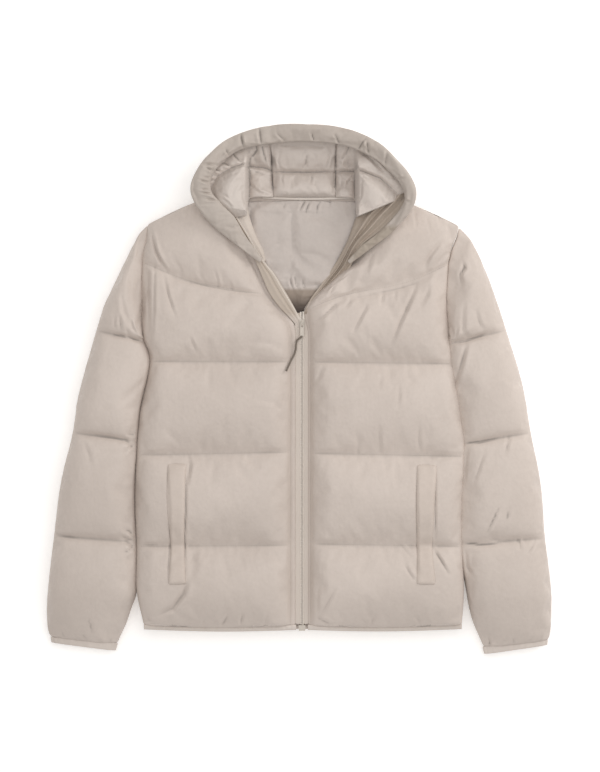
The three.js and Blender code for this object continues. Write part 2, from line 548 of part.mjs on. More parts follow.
hoodPanel("hood_side_right", "right", SEAM_PLACE.right, 2.1, NECK_RIGHT, steps(14), HOOD_ROWS);
hoodPanel("hood_side_left", "left", SEAM_PLACE.left, 15, NECK_LEFT, steps(14), HOOD_ROWS);

// The x of a front's neck edge at a height y.
function neckEdgeAt(table, y) {
  let low = 3.35;
  let high = 5;
  for (let step = 0; step < 30; step++) {
    const middle = (low + high) / 2;
    if (read(table, "edgeY", middle) < y) low = middle;
    else high = middle;
  }
  return read(table, "edgeX", low);
}

// The lining that shows inside the open neck, with the seam across it and the one down it.
const LINING = { from: 116, to: 303.5, inset: 2.8, seamY: 163, seamX: -15, puff: 2.6 };
const liningColumns = [0, 0.08, 0.24, 0.42, 0.5, 0.7, 0.92, 1];
const liningPoint = (u, v) => {
  const y = lerp(LINING.from, LINING.to, v);
  const low = neckEdgeAt(FRONT_RIGHT, y) + LINING.inset;
  const high = neckEdgeAt(FRONT_LEFT, y) - LINING.inset;
  const x = lerp(low, high, u);
  const edge = ease(Math.min(x - low, high - x, y - LINING.from, LINING.to - y) / 16);
  const seams = ease(Math.min(Math.abs(y - LINING.seamY), Math.abs(x - LINING.seamX)) / 14);
  return [x, y, FRONT_BASE + LINING_THICK + LINING.puff * edge * seams];
};
const liningTop = steps(16).map((v) => liningColumns.map((u) => liningPoint(u, v)));
const liningUnder = liningTop.map((row) => row.map(([x, y]) => [x, y, FRONT_BASE]));
add("back_lining", facingOut(liningTop, liningUnder), inside);

// A thin strip between an outer line and an inner line. steep is how soon it climbs
// from the inner line to the outer one's height.
const STRIP_COLUMNS = [0, 0.2, 0.45, 0.7, 1];
function strip(name, table, count, thick, steep, look) {
  const top = steps(count, table[0].at, table.at(-1).at).map((at) =>
    STRIP_COLUMNS.map((t) => {
      const value = (column) => read(table, column, at);
      return [
        lerp(value("innerX"), value("outerX"), t),
        lerp(value("innerY"), value("outerY"), t),
        lerp(value("innerZ"), value("outerZ"), t ** steep),
      ];
    }),
  );
  const under = top.map((row) => row.map(([x, y, z]) => [x, y, z - thick]));
  add(name, facingOut(top, under), look);
}
const FACING_THICK = 1.4;
const FACING_INNER_Z = 36.2;
const FACING_LEFT = [
  { at: 0, outerX: 8, outerY: 121, outerZ: 43, innerX: 2.6, innerY: 123, innerZ: FACING_INNER_Z + 3 },
  { at: 1, outerX: 22, outerY: 143, outerZ: 49, innerX: 13, innerY: 145, innerZ: FACING_INNER_Z },
  { at: 2, outerX: 46, outerY: 172, outerZ: 50, innerX: 34, innerY: 174, innerZ: FACING_INNER_Z },
  { at: 3, outerX: 69, outerY: 199, outerZ: 48, innerX: 53, innerY: 202, innerZ: FACING_INNER_Z },
  { at: 4, outerX: 95, outerY: 230, outerZ: 55, innerX: 71, innerY: 236, innerZ: FACING_INNER_Z },
  { at: 5, outerX: 128, outerY: 256, outerZ: 57, innerX: 81, innerY: 262, innerZ: FACING_INNER_Z },
  { at: 6, outerX: 150, outerY: 279, outerZ: 57, innerX: 86, innerY: 276, innerZ: FACING_INNER_Z },
];
const FACING_RIGHT = [
  { at: 0, outerX: -63, outerY: 204, outerZ: 38.4, innerX: -58, innerY: 207, innerZ: FACING_INNER_Z },
  { at: 1, outerX: -72, outerY: 221, outerZ: 40.5, innerX: -62, innerY: 224, innerZ: FACING_INNER_Z },
  { at: 2, outerX: -86, outerY: 243, outerZ: 46, innerX: -73, innerY: 247, innerZ: FACING_INNER_Z },
  { at: 3, outerX: -102, outerY: 270, outerZ: 50, innerX: -84, innerY: 279, innerZ: FACING_INNER_Z },
];
strip("front_facing_left", FACING_LEFT, 18, FACING_THICK, 0.36, inside);
strip("front_facing_right", FACING_RIGHT, 9, FACING_THICK, 0.5, inside);

// The piping over the seam between the neck and the hood.
const PIPING = { from: -64, to: 81, radius: 2.2, y: NECK_Y - 2.5, sides: 8 };
const pipingRings = steps(10, PIPING.from, PIPING.to).map((x) =>
  Array.from({ length: PIPING.sides }, (_, j) => {
    const angle = (2 * Math.PI * (j + 0.5)) / PIPING.sides;
    const bow = 2.5 * ((x - 8) / 72) ** 2;
    return [
      x,
      PIPING.y + bow + PIPING.radius * Math.cos(angle),
      FRONT_BASE + PIPING.radius + PIPING.radius * Math.sin(angle),
    ];
  }),
);
add("neck_piping", rollFacingOut(pipingRings), trim);

// The binding that closes each hem, sewn to the last row of its panel.
const BINDING_ACROSS = [0, 0.25, 0.75, 1];
const BINDING_RISE = [5.6, 6.6, 5.6, 3.4];
function hemBinding(name, points, heights, base) {
  const across = (t, y) => y - SEAM_GAP - BINDING_WIDTH * t;
  const one = points.map(([x, y]) => BINDING_ACROSS.map((t) => [x, across(t, y), base]));
  const other = points.map(([x, y]) => BINDING_ACROSS.map((t, k) => [x, across(t, y), base + heights[k]]));
  add(name, facingOut(one, other), trim);
}
const frontHem = (table, margin) => steps(16).map((u) => frontPoint(table, margin, u, 0));
hemBinding("hem_binding_right", frontHem(FRONT_RIGHT, MARGIN_WIDTH.right), BINDING_RISE, FRONT_BASE);
hemBinding("hem_binding_left", frontHem(FRONT_LEFT, MARGIN_WIDTH.left), BINDING_RISE, FRONT_BASE);
const backHem = steps(16).map((u) => backPoint(u, 0));
hemBinding("hem_binding_back", backHem, BINDING_RISE.map((rise) => -1.6 * rise), BACK_THICK);

// The zip: a tape each side with its coil along the inner line, parted above the slider.
const TAPE_FOOT = { outer: 8.2, inner: 0.3, y: -376.4, outerZ: 0, innerZ: 0 };
const TAPE_PARTING = { ...TAPE_FOOT, y: 99 };
const PARTED_RIGHT = [
  { at: 3, outer: 11.5, inner: 1.8, y: 110.5, outerY: 106, outerZ: 0, innerZ: 0 },
  { at: 4, outer: 16.5, inner: 4.4, y: 118, outerY: 114.5, outerZ: 0.6, innerZ: 0.1 },
  { at: 5, outer: 34, inner: 17, y: 142, outerY: 135, outerZ: 3, innerZ: 3 },
  { at: 6, outer: 49.6, inner: 31, y: 166, outerY: 157, outerZ: 4, innerZ: 4 },
  { at: 7, outer: 61, inner: 44, y: 187, outerY: 182, outerZ: 5, innerZ: 5 },
  { at: 8, outer: 71, inner: 58, y: 203, outerY: 206, outerZ: 7, innerZ: 6 },
  { at: 9, outer: 86, inner: 73, y: 223, outerY: 228, outerZ: 13, innerZ: 9 },
  { at: 10, outer: 98, inner: 87, y: 244, outerY: 250, outerZ: 17, innerZ: 15 },
];
const PARTED_LEFT = [
  { at: 3, outer: 7.9, inner: 1.8, y: 110.5, outerY: 107, outerZ: 0, innerZ: 0 },
  { at: 4, outer: 7.4, inner: 2, y: 117, outerY: 114, outerZ: 0, innerZ: 0 },
];
const TAPE_SECTION = [
  { across: 0, up: 0 },
  { across: 0.68, up: 0 },
  { across: 0.68, up: -0.8 },
  { across: 1, up: -0.8 },
  { across: 1, up: 2.2 },
  { across: 0.68, up: 2.2 },
  { across: 0.68, up: TAPE_THICK },
  { across: 0, up: TAPE_THICK },
];
function zipTape(name, side, parted) {
  const table = [{ at: 2, ...TAPE_PARTING, outerY: TAPE_PARTING.y }, ...parted];
  const last = table.at(-1).at;
  const ring = (value) =>
    TAPE_SECTION.map(({ across, up }) => [
      side * lerp(value("outer"), value("inner"), across),
      lerp(value("outerY"), value("y"), across),
      TAPE_Z + lerp(value("outerZ"), value("innerZ"), across) + up,
    ]);
  const foot = ring((column) => (column === "outerY" ? TAPE_FOOT.y : TAPE_FOOT[column]));
  const open = steps((last - 2) * 2, 2, last).map((at) => ring((column) => read(table, column, at)));
  add(name, rollFacingOut([foot, ...open]), trim);
}
zipTape("zip_tape_right", -1, PARTED_RIGHT);
zipTape("zip_tape_left", 1, PARTED_LEFT);

// The slider: a plate above the coil and one below it, a post between the parted coils,
// and a bridge on top that the pull's bar turns in.
const SLIDER = { width: 8, length: 12, y: 107, plate: 1.3, clear: 0.35, post: 2.4 };
const COIL_TOP = TAPE_Z + 2.2;
const COIL_UNDER = TAPE_Z - 0.8;
const BRIDGE = { width: 2, length: 8, height: 3.6, hole: 0.95, y: 107.5 };
const PIVOT = { y: BRIDGE.y, z: COIL_TOP + SLIDER.clear + SLIDER.plate + 1.75 };
const wasm = await Module();
wasm.setup();
function solid(geometry) {
  geometry.deleteAttribute("normal");
  geometry.deleteAttribute("uv");
  const merged = mergeVertices(geometry, 1e-4);
  return new wasm.Manifold(
    new wasm.Mesh({
      numProp: 3,
      vertProperties: merged.attributes.position.array,
      triVerts: new Uint32Array(merged.index.array),
    }),
  );
}
function geometryOf(manifold) {
  const mesh = manifold.getMesh();
  const geometry = new THREE.BufferGeometry();
  geometry.setAttribute("position", new THREE.BufferAttribute(mesh.vertProperties, 3));
  geometry.setIndex(new THREE.BufferAttribute(mesh.triVerts, 1));
  return geometry;
}
const block = (width, length, height, x, y, z) =>
  solid(new THREE.BoxGeometry(width, length, height).translate(x, y, z + height / 2));
const barAlongX = (radius, length, sides, y, z) =>
  solid(new THREE.CylinderGeometry(radius, radius, length, sides).rotateZ(Math.PI / 2).translate(0, y, z));

const plateTop = COIL_TOP + SLIDER.clear;
const plateUnder = COIL_UNDER - SLIDER.clear - SLIDER.plate;
const postY = SLIDER.y + SLIDER.length / 2 - SLIDER.post / 2;
const sliderBody = block(SLIDER.width, SLIDER.length, SLIDER.plate, 0, SLIDER.y, plateTop)
  .add(block(SLIDER.width, SLIDER.length, SLIDER.plate, 0, SLIDER.y, plateUnder))
  .add(block(2.2, SLIDER.post, plateTop - plateUnder + SLIDER.plate, 0, postY, plateUnder))
  .add(block(BRIDGE.width, BRIDGE.length, BRIDGE.height, 0, BRIDGE.y, plateTop + SLIDER.plate - 0.1))
  .subtract(barAlongX(BRIDGE.hole, BRIDGE.width * 2, 16, PIVOT.y, PIVOT.z));
add("zip_slider", geometryOf(sliderBody), zipMetal);

// The pull tab: a bar through the bridge, an arm each side of it, and a plate below them.
const PULL = { width: 6, arm: 1.2, reach: 7, length: 21, thick: 1.2, bar: 0.6 };
const armX = PULL.width / 2 - PULL.arm / 2;
const pullPlate = PULL.length - PULL.reach;
const plateY = PIVOT.y - PULL.reach - pullPlate / 2 + 0.1;
const pullBody = barAlongX(PULL.bar, PULL.width, 12, PIVOT.y, PIVOT.z)
  .add(block(PULL.arm, PULL.reach + 0.8, PULL.thick, -armX, PIVOT.y - PULL.reach / 2 + 0.2, PIVOT.z - PULL.thick / 2))
  .add(block(PULL.arm, PULL.reach + 0.8, PULL.thick, armX, PIVOT.y - PULL.reach / 2 + 0.2, PIVOT.z - PULL.thick / 2))
  .add(block(PULL.width, pullPlate, PULL.thick, 0, plateY, PIVOT.z - PULL.thick / 2));
add("zip_pull_tab", geometryOf(pullBody), zipMetal);

// The cord tied to the pull: it leaves the tab's end and lies down the right front.
const CORD_RADIUS = 1.5;
const PULL_END = PIVOT.y - PULL.length + 0.1;
const CORD_PATH = [
  { x: 0, y: PULL_END - 0.3, z: PIVOT.z },
  { x: 0, y: PULL_END - 3.6, z: PIVOT.z - 0.1 },
  { x: -3.5, y: 76, z: 38.6 },
  { x: -6.5, y: 68, z: 39.2 },
  { x: -12, y: 54, z: 39.7 },
  { x: -18.5, y: 42, z: 43.2 },
  { x: -22, y: 35.5, z: 49.8 },
  { x: -25, y: 29, z: 54.6 },
];
const cordCurve = new THREE.CatmullRomCurve3(CORD_PATH.map(({ x, y, z }) => new THREE.Vector3(x, y, z)));
const cordSection = new THREE.Shape().absarc(0, 0, CORD_RADIUS, 0, 2 * Math.PI, false);
const cord = new THREE.ExtrudeGeometry(cordSection, { steps: 14, curveSegments: 8, extrudePath: cordCurve });
add("zip_pull_cord", cord, cordColour);

// The block that closes the zip's lower end.
const BOX = { width: 11, length: 9, height: 6.4 };
add(
  "zip_box",
  new THREE.BoxGeometry(BOX.width, BOX.length, BOX.height).translate(0, TAPE_FOOT.y - 0.4 - BOX.length / 2, TAPE_Z + 0.7),
  zipMetal,
);

export default jacket;
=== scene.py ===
# %% [markdown]
# A hooded puffer jacket, laid out
#
# This lesson dresses the plain solids of a padded jacket. The jacket lies on its back on a
# pale table and is seen from straight above. Each piece that a maker cuts and sews is made
# again here as its own object, in metres, at the place where its solid lies. The padded
# pieces are settled by a short cloth simulation, because puckers along a quilting seam are
# hard to draw by hand and come by themselves when cloth is longer than its seam.

# %% Start
import math

import bpy
import bmesh
import numpy as np
from mathutils import Matrix, Vector, noise
from mathutils.bvhtree import BVHTree


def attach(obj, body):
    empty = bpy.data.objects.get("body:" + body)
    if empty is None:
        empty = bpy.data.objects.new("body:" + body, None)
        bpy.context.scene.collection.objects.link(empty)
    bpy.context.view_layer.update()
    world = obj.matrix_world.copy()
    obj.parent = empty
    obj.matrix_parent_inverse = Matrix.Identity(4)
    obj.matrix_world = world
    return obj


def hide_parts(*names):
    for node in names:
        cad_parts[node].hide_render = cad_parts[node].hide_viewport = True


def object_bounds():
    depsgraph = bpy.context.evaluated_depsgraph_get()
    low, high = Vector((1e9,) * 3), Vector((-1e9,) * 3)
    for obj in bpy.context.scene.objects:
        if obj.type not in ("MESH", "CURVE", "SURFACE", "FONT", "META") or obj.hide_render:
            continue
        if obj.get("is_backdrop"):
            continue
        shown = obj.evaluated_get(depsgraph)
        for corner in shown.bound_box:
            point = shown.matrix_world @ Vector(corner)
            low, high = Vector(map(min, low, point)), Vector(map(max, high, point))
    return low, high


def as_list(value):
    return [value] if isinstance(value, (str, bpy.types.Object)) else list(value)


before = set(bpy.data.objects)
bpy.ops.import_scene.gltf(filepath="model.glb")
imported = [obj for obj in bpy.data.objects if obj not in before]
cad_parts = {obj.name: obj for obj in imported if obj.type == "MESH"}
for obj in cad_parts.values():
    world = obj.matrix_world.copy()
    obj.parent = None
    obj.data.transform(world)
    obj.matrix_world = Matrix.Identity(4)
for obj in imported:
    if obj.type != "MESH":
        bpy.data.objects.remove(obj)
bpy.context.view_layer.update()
MM = 0.001
print("solids loaded:", len(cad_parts))

# %% [markdown]
# The camera and the table
#
# A flat jacket is photographed from straight above with a long lens, so nothing leans
# outwards. The lens is worked out from the camera's height and the stretch of table that
# the picture takes in. The light is one big soft panel overhead, a second one from the
# upper right that gives the puffs their shape, and a pale room that fills the shadows.

# %% Camera
PICTURE = (600, 772)
MM_PER_PIXEL = 1.6
MIDDLE = (-3.2, 6.4)
CAMERA_HEIGHT = 5200
FOCUS_HEIGHT = 45

lens_data = bpy.data.cameras.new("overhead_camera")
lens_data.sensor_fit = "VERTICAL"
lens_data.sensor_height = 36
lens_data.lens = 36 * (CAMERA_HEIGHT - FOCUS_HEIGHT) / (PICTURE[1] * MM_PER_PIXEL)
lens_data.clip_end = 50
camera = bpy.data.objects.new("overhead_camera", lens_data)
camera.location = (MIDDLE[0] * MM, MIDDLE[1] * MM, CAMERA_HEIGHT * MM)
bpy.context.collection.objects.link(camera)
bpy.context.scene.camera = camera
print("lens:", round(lens_data.lens), "mm")

# %% Light
scene = bpy.context.scene
scene.view_settings.view_transform = "Standard"
scene.view_settings.look = "None"


def light_panel(name, place, aim, size, power, colour):
    data = bpy.data.lights.new(name, "AREA")
    data.shape = "RECTANGLE"
    data.size, data.size_y = size
    data.energy = power
    data.color = colour
    lamp = bpy.data.objects.new(name, data)
    lamp.location = place
    lamp.rotation_euler = (Vector(aim) - Vector(place)).to_track_quat("-Z", "Y").to_euler()
    bpy.context.collection.objects.link(lamp)


light_panel(
    "overhead_panel", place=(0.2, 0.35, 2.6), aim=(0, 0, 0), size=(3.0, 2.6), power=32, colour=(1, 0.99, 0.98)
)
light_panel(
    "side_panel", place=(1.9, 1.3, 1.1), aim=(0, 0, 0), size=(1.2, 1.2), power=19, colour=(1, 0.985, 0.97)
)
room = bpy.data.worlds.new("pale_room")
room.use_nodes = True
room.node_tree.nodes["Background"].inputs["Color"].default_value = (1, 0.99, 0.98, 1)
room.node_tree.nodes["Background"].inputs["Strength"].default_value = 0.55
scene.world = room

# %% Table
TABLE_BELOW = 0.4
TABLE_HALF = 6

table_mesh = bpy.data.meshes.new("table_top")
table_shape = bmesh.new()
bmesh.ops.create_grid(table_shape, x_segments=1, y_segments=1, size=TABLE_HALF)
for corner in table_shape.verts:
    corner.co.z = -TABLE_BELOW * MM
table_shape.to_mesh(table_mesh)
table_shape.free()
table_top = bpy.data.objects.new("table_top", table_mesh)
bpy.context.collection.objects.link(table_top)
table_top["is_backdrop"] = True

# %% [markdown]
# Writing materials as sums
#
# A cloth's look is a recipe: a colour, a little variation, a weave that catches light. Node
# trees hide such recipes, so a small class stands for one output socket and lets Python's
# own operators add the maths nodes. Every other node comes from one method, which sets the
# node's own settings before it fills or links its sockets.

# %% Recipe


class Thread:
    """One output of a node, which sums and products can be written with."""

    def __init__(self, recipe, socket):
        self.recipe = recipe
        self.socket = socket

    def maths(self, operation, *values):
        return self.recipe.node("ShaderNodeMath", {"operation": operation}, dict(enumerate(values)))

    def __add__(self, other):
        return self.maths("ADD", self, other)

    def __sub__(self, other):
        return self.maths("SUBTRACT", self, other)

    def __rsub__(self, other):
        return self.maths("SUBTRACT", other, self)

    def __mul__(self, other):
        return self.maths("MULTIPLY", self, other)

    def __truediv__(self, other):
        return self.maths("DIVIDE", self, other)

    def __pow__(self, other):
        return self.maths("POWER", self, other)

    __radd__ = __add__
    __rmul__ = __mul__

    def between(self, low, high, to_low=0.0, to_high=1.0):
        sockets = {0: self, 1: low, 2: high, 3: to_low, 4: to_high}
        return self.recipe.node("ShaderNodeMapRange", {"interpolation_type": "SMOOTHSTEP"}, sockets)


class Recipe:
    """A new material, and the one way in which nodes are put into it."""

    def __init__(self, name):
        self.material = bpy.data.materials.new(name)
        self.material.use_nodes = True
        self.tree = self.material.node_tree
        self.shader = self.tree.nodes["Principled BSDF"]

    def node(self, kind, settings=None, sockets=None, output=0):
        made = self.tree.nodes.new(kind)
        for key, value in (settings or {}).items():
            setattr(made, key, value)
        for key, value in (sockets or {}).items():
            self.fill(made.inputs[key], value)
        return Thread(self, made.outputs[output])

    def fill(self, target, value):
        if isinstance(value, Thread):
            self.tree.links.new(value.socket, target)
        else:
            target.default_value = value

    def mix(self, factor, low, high):
        sockets = {0: factor, 6: low, 7: high}
        return self.node("ShaderNodeMix", {"data_type": "RGBA"}, sockets, output=2)

    def noise(self, place, scale, detail=2.0, stretch=(1, 1, 1), turn=0.0):
        settings = {"vector_type": "POINT"}
        sockets = {"Vector": place, "Scale": stretch, "Rotation": (0, 0, turn)}
        spot = self.node("ShaderNodeMapping", settings, sockets)
        return self.node("ShaderNodeTexNoise", {}, {"Vector": spot, "Scale": scale, "Detail": detail})

    def bump(self, height, distance, strength=1.0, under=None):
        sockets = {"Height": height, "Distance": distance, "Strength": strength}
        if under is not None:
            sockets["Normal"] = under
        return self.node("ShaderNodeBump", {}, sockets)


def srgb(red, green, blue):
    """A colour as a screen gives it, 0 to 255, turned into the light that a shader wants."""

    def channel(value):
        value = value / 255
        return value / 12.92 if value <= 0.04045 else ((value + 0.055) / 1.055) ** 2.4

    return (channel(red), channel(green), channel(blue), 1)


# %% Table finish
paper = Recipe("pale_paper")
paper.fill(paper.shader.inputs["Base Color"], srgb(252, 251, 250))
paper.fill(paper.shader.inputs["Roughness"], 0.9)
paper.fill(paper.shader.inputs["Emission Color"], srgb(255, 254, 252))
paper.fill(paper.shader.inputs["Emission Strength"], 0.26)
table_mesh.materials.append(paper.material)

# %% [markdown]
# Nylon with a soft sheen
#
# The shell of a puffer is a tight plain weave of very fine nylon. From a step away no
# threads show, only a soft sheen and countless small crinkles where the light downproof
# cloth has been folded. So the colour barely varies, the roughness drifts a little, and
# two bumps carry the crinkles and the weave. All of them read Object coordinates, so they
# keep their size on every piece.

# %% Cloths


def patch(cloth, place, column, start, end):
    """A mask that turns from 0 to 1 as an object coordinate goes from start to end, in millimetres."""
    spot = cloth.node("ShaderNodeSeparateXYZ", {}, {"Vector": place}, output="XYZ".index(column))
    return spot.between(start * MM, end * MM)


def nylon(name, colour, shade, rough, crinkle, sheen, tint=None):
    """A nylon from its lit and shaded colours, its roughness, its crinkles in millimetres and its sheen."""
    cloth = Recipe(name)
    place = cloth.node("ShaderNodeTexCoord", output=3)
    cloud = cloth.noise(place, 9, 3)
    mottle = cloth.noise(place, 160, 3)
    tone = (cloud * 0.7 + mottle * 0.3).between(0.3, 0.72)
    base = cloth.mix(tone, srgb(*shade), srgb(*colour))
    if tint:
        base = tint(cloth, place, base)
    # The crease attribute paints shade into the creases and a highlight along the ridges.
    painted_fold_light = cloth.node("ShaderNodeAttribute", {"attribute_name": "crease"}, output=2)
    base = cloth.mix(painted_fold_light.between(0.03, 1.0, 0, 0.8), base, srgb(*[0.7 * part for part in shade]))
    base = cloth.mix(painted_fold_light.between(-0.1, -1.0, 0, 0.5), base, srgb(*[1.07 * part for part in colour]))
    folds = cloth.noise(place, 46, 4, stretch=(1, 0.55, 1), turn=0.35)
    fine = cloth.noise(place, 210, 3, stretch=(1, 0.8, 1))
    crease = (folds * 0.75 + fine * 0.25).between(0.2, 0.8)
    weave_x = cloth.node("ShaderNodeTexWave", {"bands_direction": "X"}, {"Vector": place, "Scale": 900})
    weave_y = cloth.node("ShaderNodeTexWave", {"bands_direction": "Y"}, {"Vector": place, "Scale": 900})
    crinkled = cloth.bump(crease, crinkle * MM, 1.0)
    woven = cloth.bump(weave_x * weave_y, 0.05 * MM, 0.35, under=crinkled)
    shader = cloth.shader.inputs
    cloth.fill(shader["Base Color"], base)
    cloth.fill(shader["Roughness"], crease.between(0.0, 1.0, rough + 0.08, rough - 0.08))
    cloth.fill(shader["Normal"], woven)
    cloth.fill(shader["Sheen Weight"], sheen)
    cloth.fill(shader["Sheen Roughness"], 0.45)
    cloth.fill(shader["Specular IOR Level"], 0.32)
    return cloth.material


def turned_in(cloth, place, base):
    """The left front end of the hood's edge is the facing's darker cloth."""
    low = patch(cloth, place, "Y", 266, 256)
    left = patch(cloth, place, "X", 70, 90)
    return cloth.mix(low * left, base, srgb(166, 154, 141))


def dark_panel_and_painted_shade(cloth, place, base):
    """Under its cross seam the lining is a darker panel, and a painted shade makes it darkest behind the
    slider.
    """
    panel = cloth.mix(patch(cloth, place, "Y", 166, 158), base, srgb(150, 136, 124))
    # Painted shade: the lining darkens most towards the foot of the open zip, behind the slider.
    return cloth.mix(patch(cloth, place, "Y", 157, 126), panel, srgb(64, 52, 44))


shell_cloth = nylon("shell_nylon", (206, 194, 185), (197, 185, 176), 0.56, 0.8, 0.12)
lining_cloth = nylon("lining_nylon", (198, 188, 181), (188, 178, 171), 0.5, 0.7, 0.16, dark_panel_and_painted_shade)
strip_cloth = nylon("neck_strip_nylon", (206, 195, 185), (197, 185, 174), 0.52, 0.7, 0.14)
facing_cloth = nylon("facing_nylon", (182, 169, 156), (168, 154, 140), 0.52, 0.8, 0.12)
binding_cloth = nylon("binding_knit", (214, 203, 195), (205, 194, 185), 0.7, 0.5, 0.1)
band_cloth = nylon("hood_band_nylon", (188, 178, 169), (176, 165, 156), 0.56, 0.8, 0.12, turned_in)
hood_lining_cloth = nylon("hood_lining_nylon", (204, 194, 186), (194, 183, 175), 0.48, 0.7, 0.18)
welt_cloth = nylon("pocket_welt_nylon", (206, 193, 183), (197, 184, 174), 0.56, 0.6, 0.12)
piping_cloth = nylon("piping_nylon", (214, 205, 197), (206, 196, 187), 0.55, 0.3, 0.12)

# %% [markdown]
# Trims
#
# The trims are small but differ in kind: the tape is a ribbed weave, the coil is smooth
# nylon, the slider is painted metal that has worn a little brighter in small scuffs, and the
# cord is a braid. The braid is two diagonal waves that cross.

# %% Trim finishes


def parted_side(trim, place, base):
    """Above the slider the tape's wrong side shows, which is darker."""
    return trim.mix(patch(trim, place, "Y", 112, 126), base, srgb(188, 175, 162))


def woven_trim(name, colour, shade, ribs, rough, depth, crossed=False, tint=None):
    """A ribbed trim: ribs says how close the ribs lie, and depth is their height in millimetres."""
    trim = Recipe(name)
    place = trim.node("ShaderNodeTexCoord", output=3)
    rib = trim.node("ShaderNodeTexWave", {"bands_direction": "Y"}, {"Vector": place, "Scale": ribs})
    if crossed:
        slanted = {"Vector": place, "Scale": ribs * 0.7}
        other = trim.node("ShaderNodeTexWave", {"bands_direction": "DIAGONAL"}, slanted)
        rib = rib * other
    wear = trim.noise(place, 60, 3)
    base = trim.mix(rib * 0.6 + wear * 0.4, srgb(*shade), srgb(*colour))
    if tint:
        base = tint(trim, place, base)
    trim.fill(trim.shader.inputs["Base Color"], base)
    trim.fill(trim.shader.inputs["Roughness"], wear.between(0.3, 0.7, rough - 0.06, rough + 0.06))
    trim.fill(trim.shader.inputs["Normal"], trim.bump(rib, depth * MM))
    trim.fill(trim.shader.inputs["Sheen Weight"], 0.1)
    return trim.material


tape_cloth = woven_trim("zip_tape_weave", (216, 205, 195), (204, 193, 183), 260, 0.78, 0.16, tint=parted_side)
cord_braid = woven_trim("cord_braid", (140, 129, 118), (104, 94, 84), 190, 0.8, 0.35, crossed=True)
coil_nylon = woven_trim("coil_nylon", (236, 228, 219), (224, 215, 205), 90, 0.42, 0.05)
thread_finish = woven_trim("sewing_thread", (190, 179, 168), (172, 161, 149), 700, 0.7, 0.03)

paint = Recipe("zip_paint")
paint_place = paint.node("ShaderNodeTexCoord", output=3)
scuffs = paint.noise(paint_place, 700, 4)
rubbed = scuffs.between(0.52, 0.68)
paint.fill(paint.shader.inputs["Base Color"], paint.mix(rubbed, srgb(196, 187, 176), srgb(208, 200, 190)))
paint.fill(paint.shader.inputs["Roughness"], scuffs.between(0.3, 0.7, 0.34, 0.5))
paint.fill(paint.shader.inputs["Metallic"], rubbed * 0.25)
paint.fill(paint.shader.inputs["Normal"], paint.bump(scuffs, 0.03 * MM))
zip_paint = paint.material

# %% [markdown]
# The cord on the zip's pull
#
# A soft braided cord is tied to the pull tab, so that gloved fingers find it. It is a limp
# thing: it leaves the tab straight, drops on to the right front and lies there in a lazy
# bend. A curve is the natural way to draw it. The route is rounded through a few points
# with a spline that passes through all of them, and the braid is left to the material.

# %% Pull cord
CORD_ROUTE = [
    (0, 86.3, 39.6),
    (-2.8, 83.6, 40.2),
    (-7.4, 80, 40.6),
    (-9.6, 73, 40.2),
    (-10.2, 65, 39.6),
    (-12.4, 57, 40),
    (-16.8, 48.5, 42.6),
    (-21, 39.5, 49),
    (-25, 30.5, 54.6),
]
CORD_RADIUS = 1.5


def through(points, parts):
    """Points on one smooth curve that passes through all the given ones."""
    ends = [Vector(points[0]), *map(Vector, points), Vector(points[-1])]
    route = []
    for a, b, c, d in zip(ends, ends[1:], ends[2:], ends[3:]):
        for step in range(parts):
            t = step / parts
            pull = (b * 2, (c - a) * t, (a * 2 - b * 5 + c * 4 - d) * t**2, (b * 3 - a - c * 3 + d) * t**3)
            route.append(sum(pull, Vector((0, 0, 0))) / 2)
    return [*route, ends[-1]]


cord_route = through(CORD_ROUTE, 3)
cord_curve = bpy.data.curves.new("zip_pull_cord_line", "CURVE")
cord_curve.dimensions = "3D"
cord_curve.bevel_depth = CORD_RADIUS * MM
cord_curve.bevel_resolution = 5
cord_curve.use_fill_caps = True
cord_line = cord_curve.splines.new("POLY")
cord_line.points.add(len(cord_route) - 1)
for knot, place in zip(cord_line.points, cord_route):
    knot.co = (*(place * MM), 1)
pull_cord = bpy.data.objects.new("zip_pull_cord_braid", cord_curve)
bpy.context.collection.objects.link(pull_cord)
cord_length = sum((b - a).length for a, b in zip(cord_route, cord_route[1:])) * MM
print("cord length:", round(cord_length, 4))
cord_curve.materials.append(cord_braid)
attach(pull_cord, "pull")
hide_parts("zip_pull_cord")
tuple(cord_route[0] * MM)

# %% [markdown]
# The cut of the body
#
# The fronts are described by a few sections, one at the hem, one at each quilting line and
# some between them. A section says where its side end and its zip end lie. Reading such a
# table as a smooth curve gives any point between, so one small table carries the outline,
# the place of the quilting and how full each channel is.

# %% Reading a table


def ease(t):
    t = min(max(t, 0.0), 1.0)
    return t * t * (3 - 2 * t)


def lerp(a, b, t):
    return a + (b - a) * t


def rounding(distance, radius):
    """0 at an edge, 1 from radius inwards, along a quarter circle."""
    t = 1 - min(max(distance / radius, 0.0), 1.0)
    return math.sqrt(1 - t * t)


def hump(t, power=2.4):
    """0 at both ends of a channel, 1 in its middle."""
    return (1 - min(abs(2 * t - 1), 1.0) ** power) ** (1 / power)


class Sections:
    """Rows of numbers under named columns, read as smooth curves at any place."""

    def __init__(self, columns, rows):
        self.stops = [row[0] for row in rows]
        names = columns.split()
        self.columns = {name: [row[i + 1] for row in rows] for i, name in enumerate(names)}

    def slope(self, values, j):
        low, high = max(j - 1, 0), min(j + 1, len(values) - 1)
        return (values[high] - values[low]) / (self.stops[high] - self.stops[low])

    def read(self, name, at):
        values, stops = self.columns[name], self.stops
        i = 0
        while i < len(stops) - 2 and at > stops[i + 1]:
            i += 1
        span = stops[i + 1] - stops[i]
        t = (at - stops[i]) / span
        start, end = self.slope(values, i) * span, self.slope(values, i + 1) * span
        return (
            values[i] * (1 + 2 * t) * (1 - t) ** 2
            + values[i + 1] * t * t * (3 - 2 * t)
            + start * t * (1 - t) ** 2
            - end * t * t * (1 - t)
        )

    def find(self, name, value, low, high):
        """The place between low and high where a rising column reaches a value."""
        for _ in range(26):
            middle = (low + high) / 2
            if self.read(name, middle) < value:
                low = middle
            else:
                high = middle
        return low


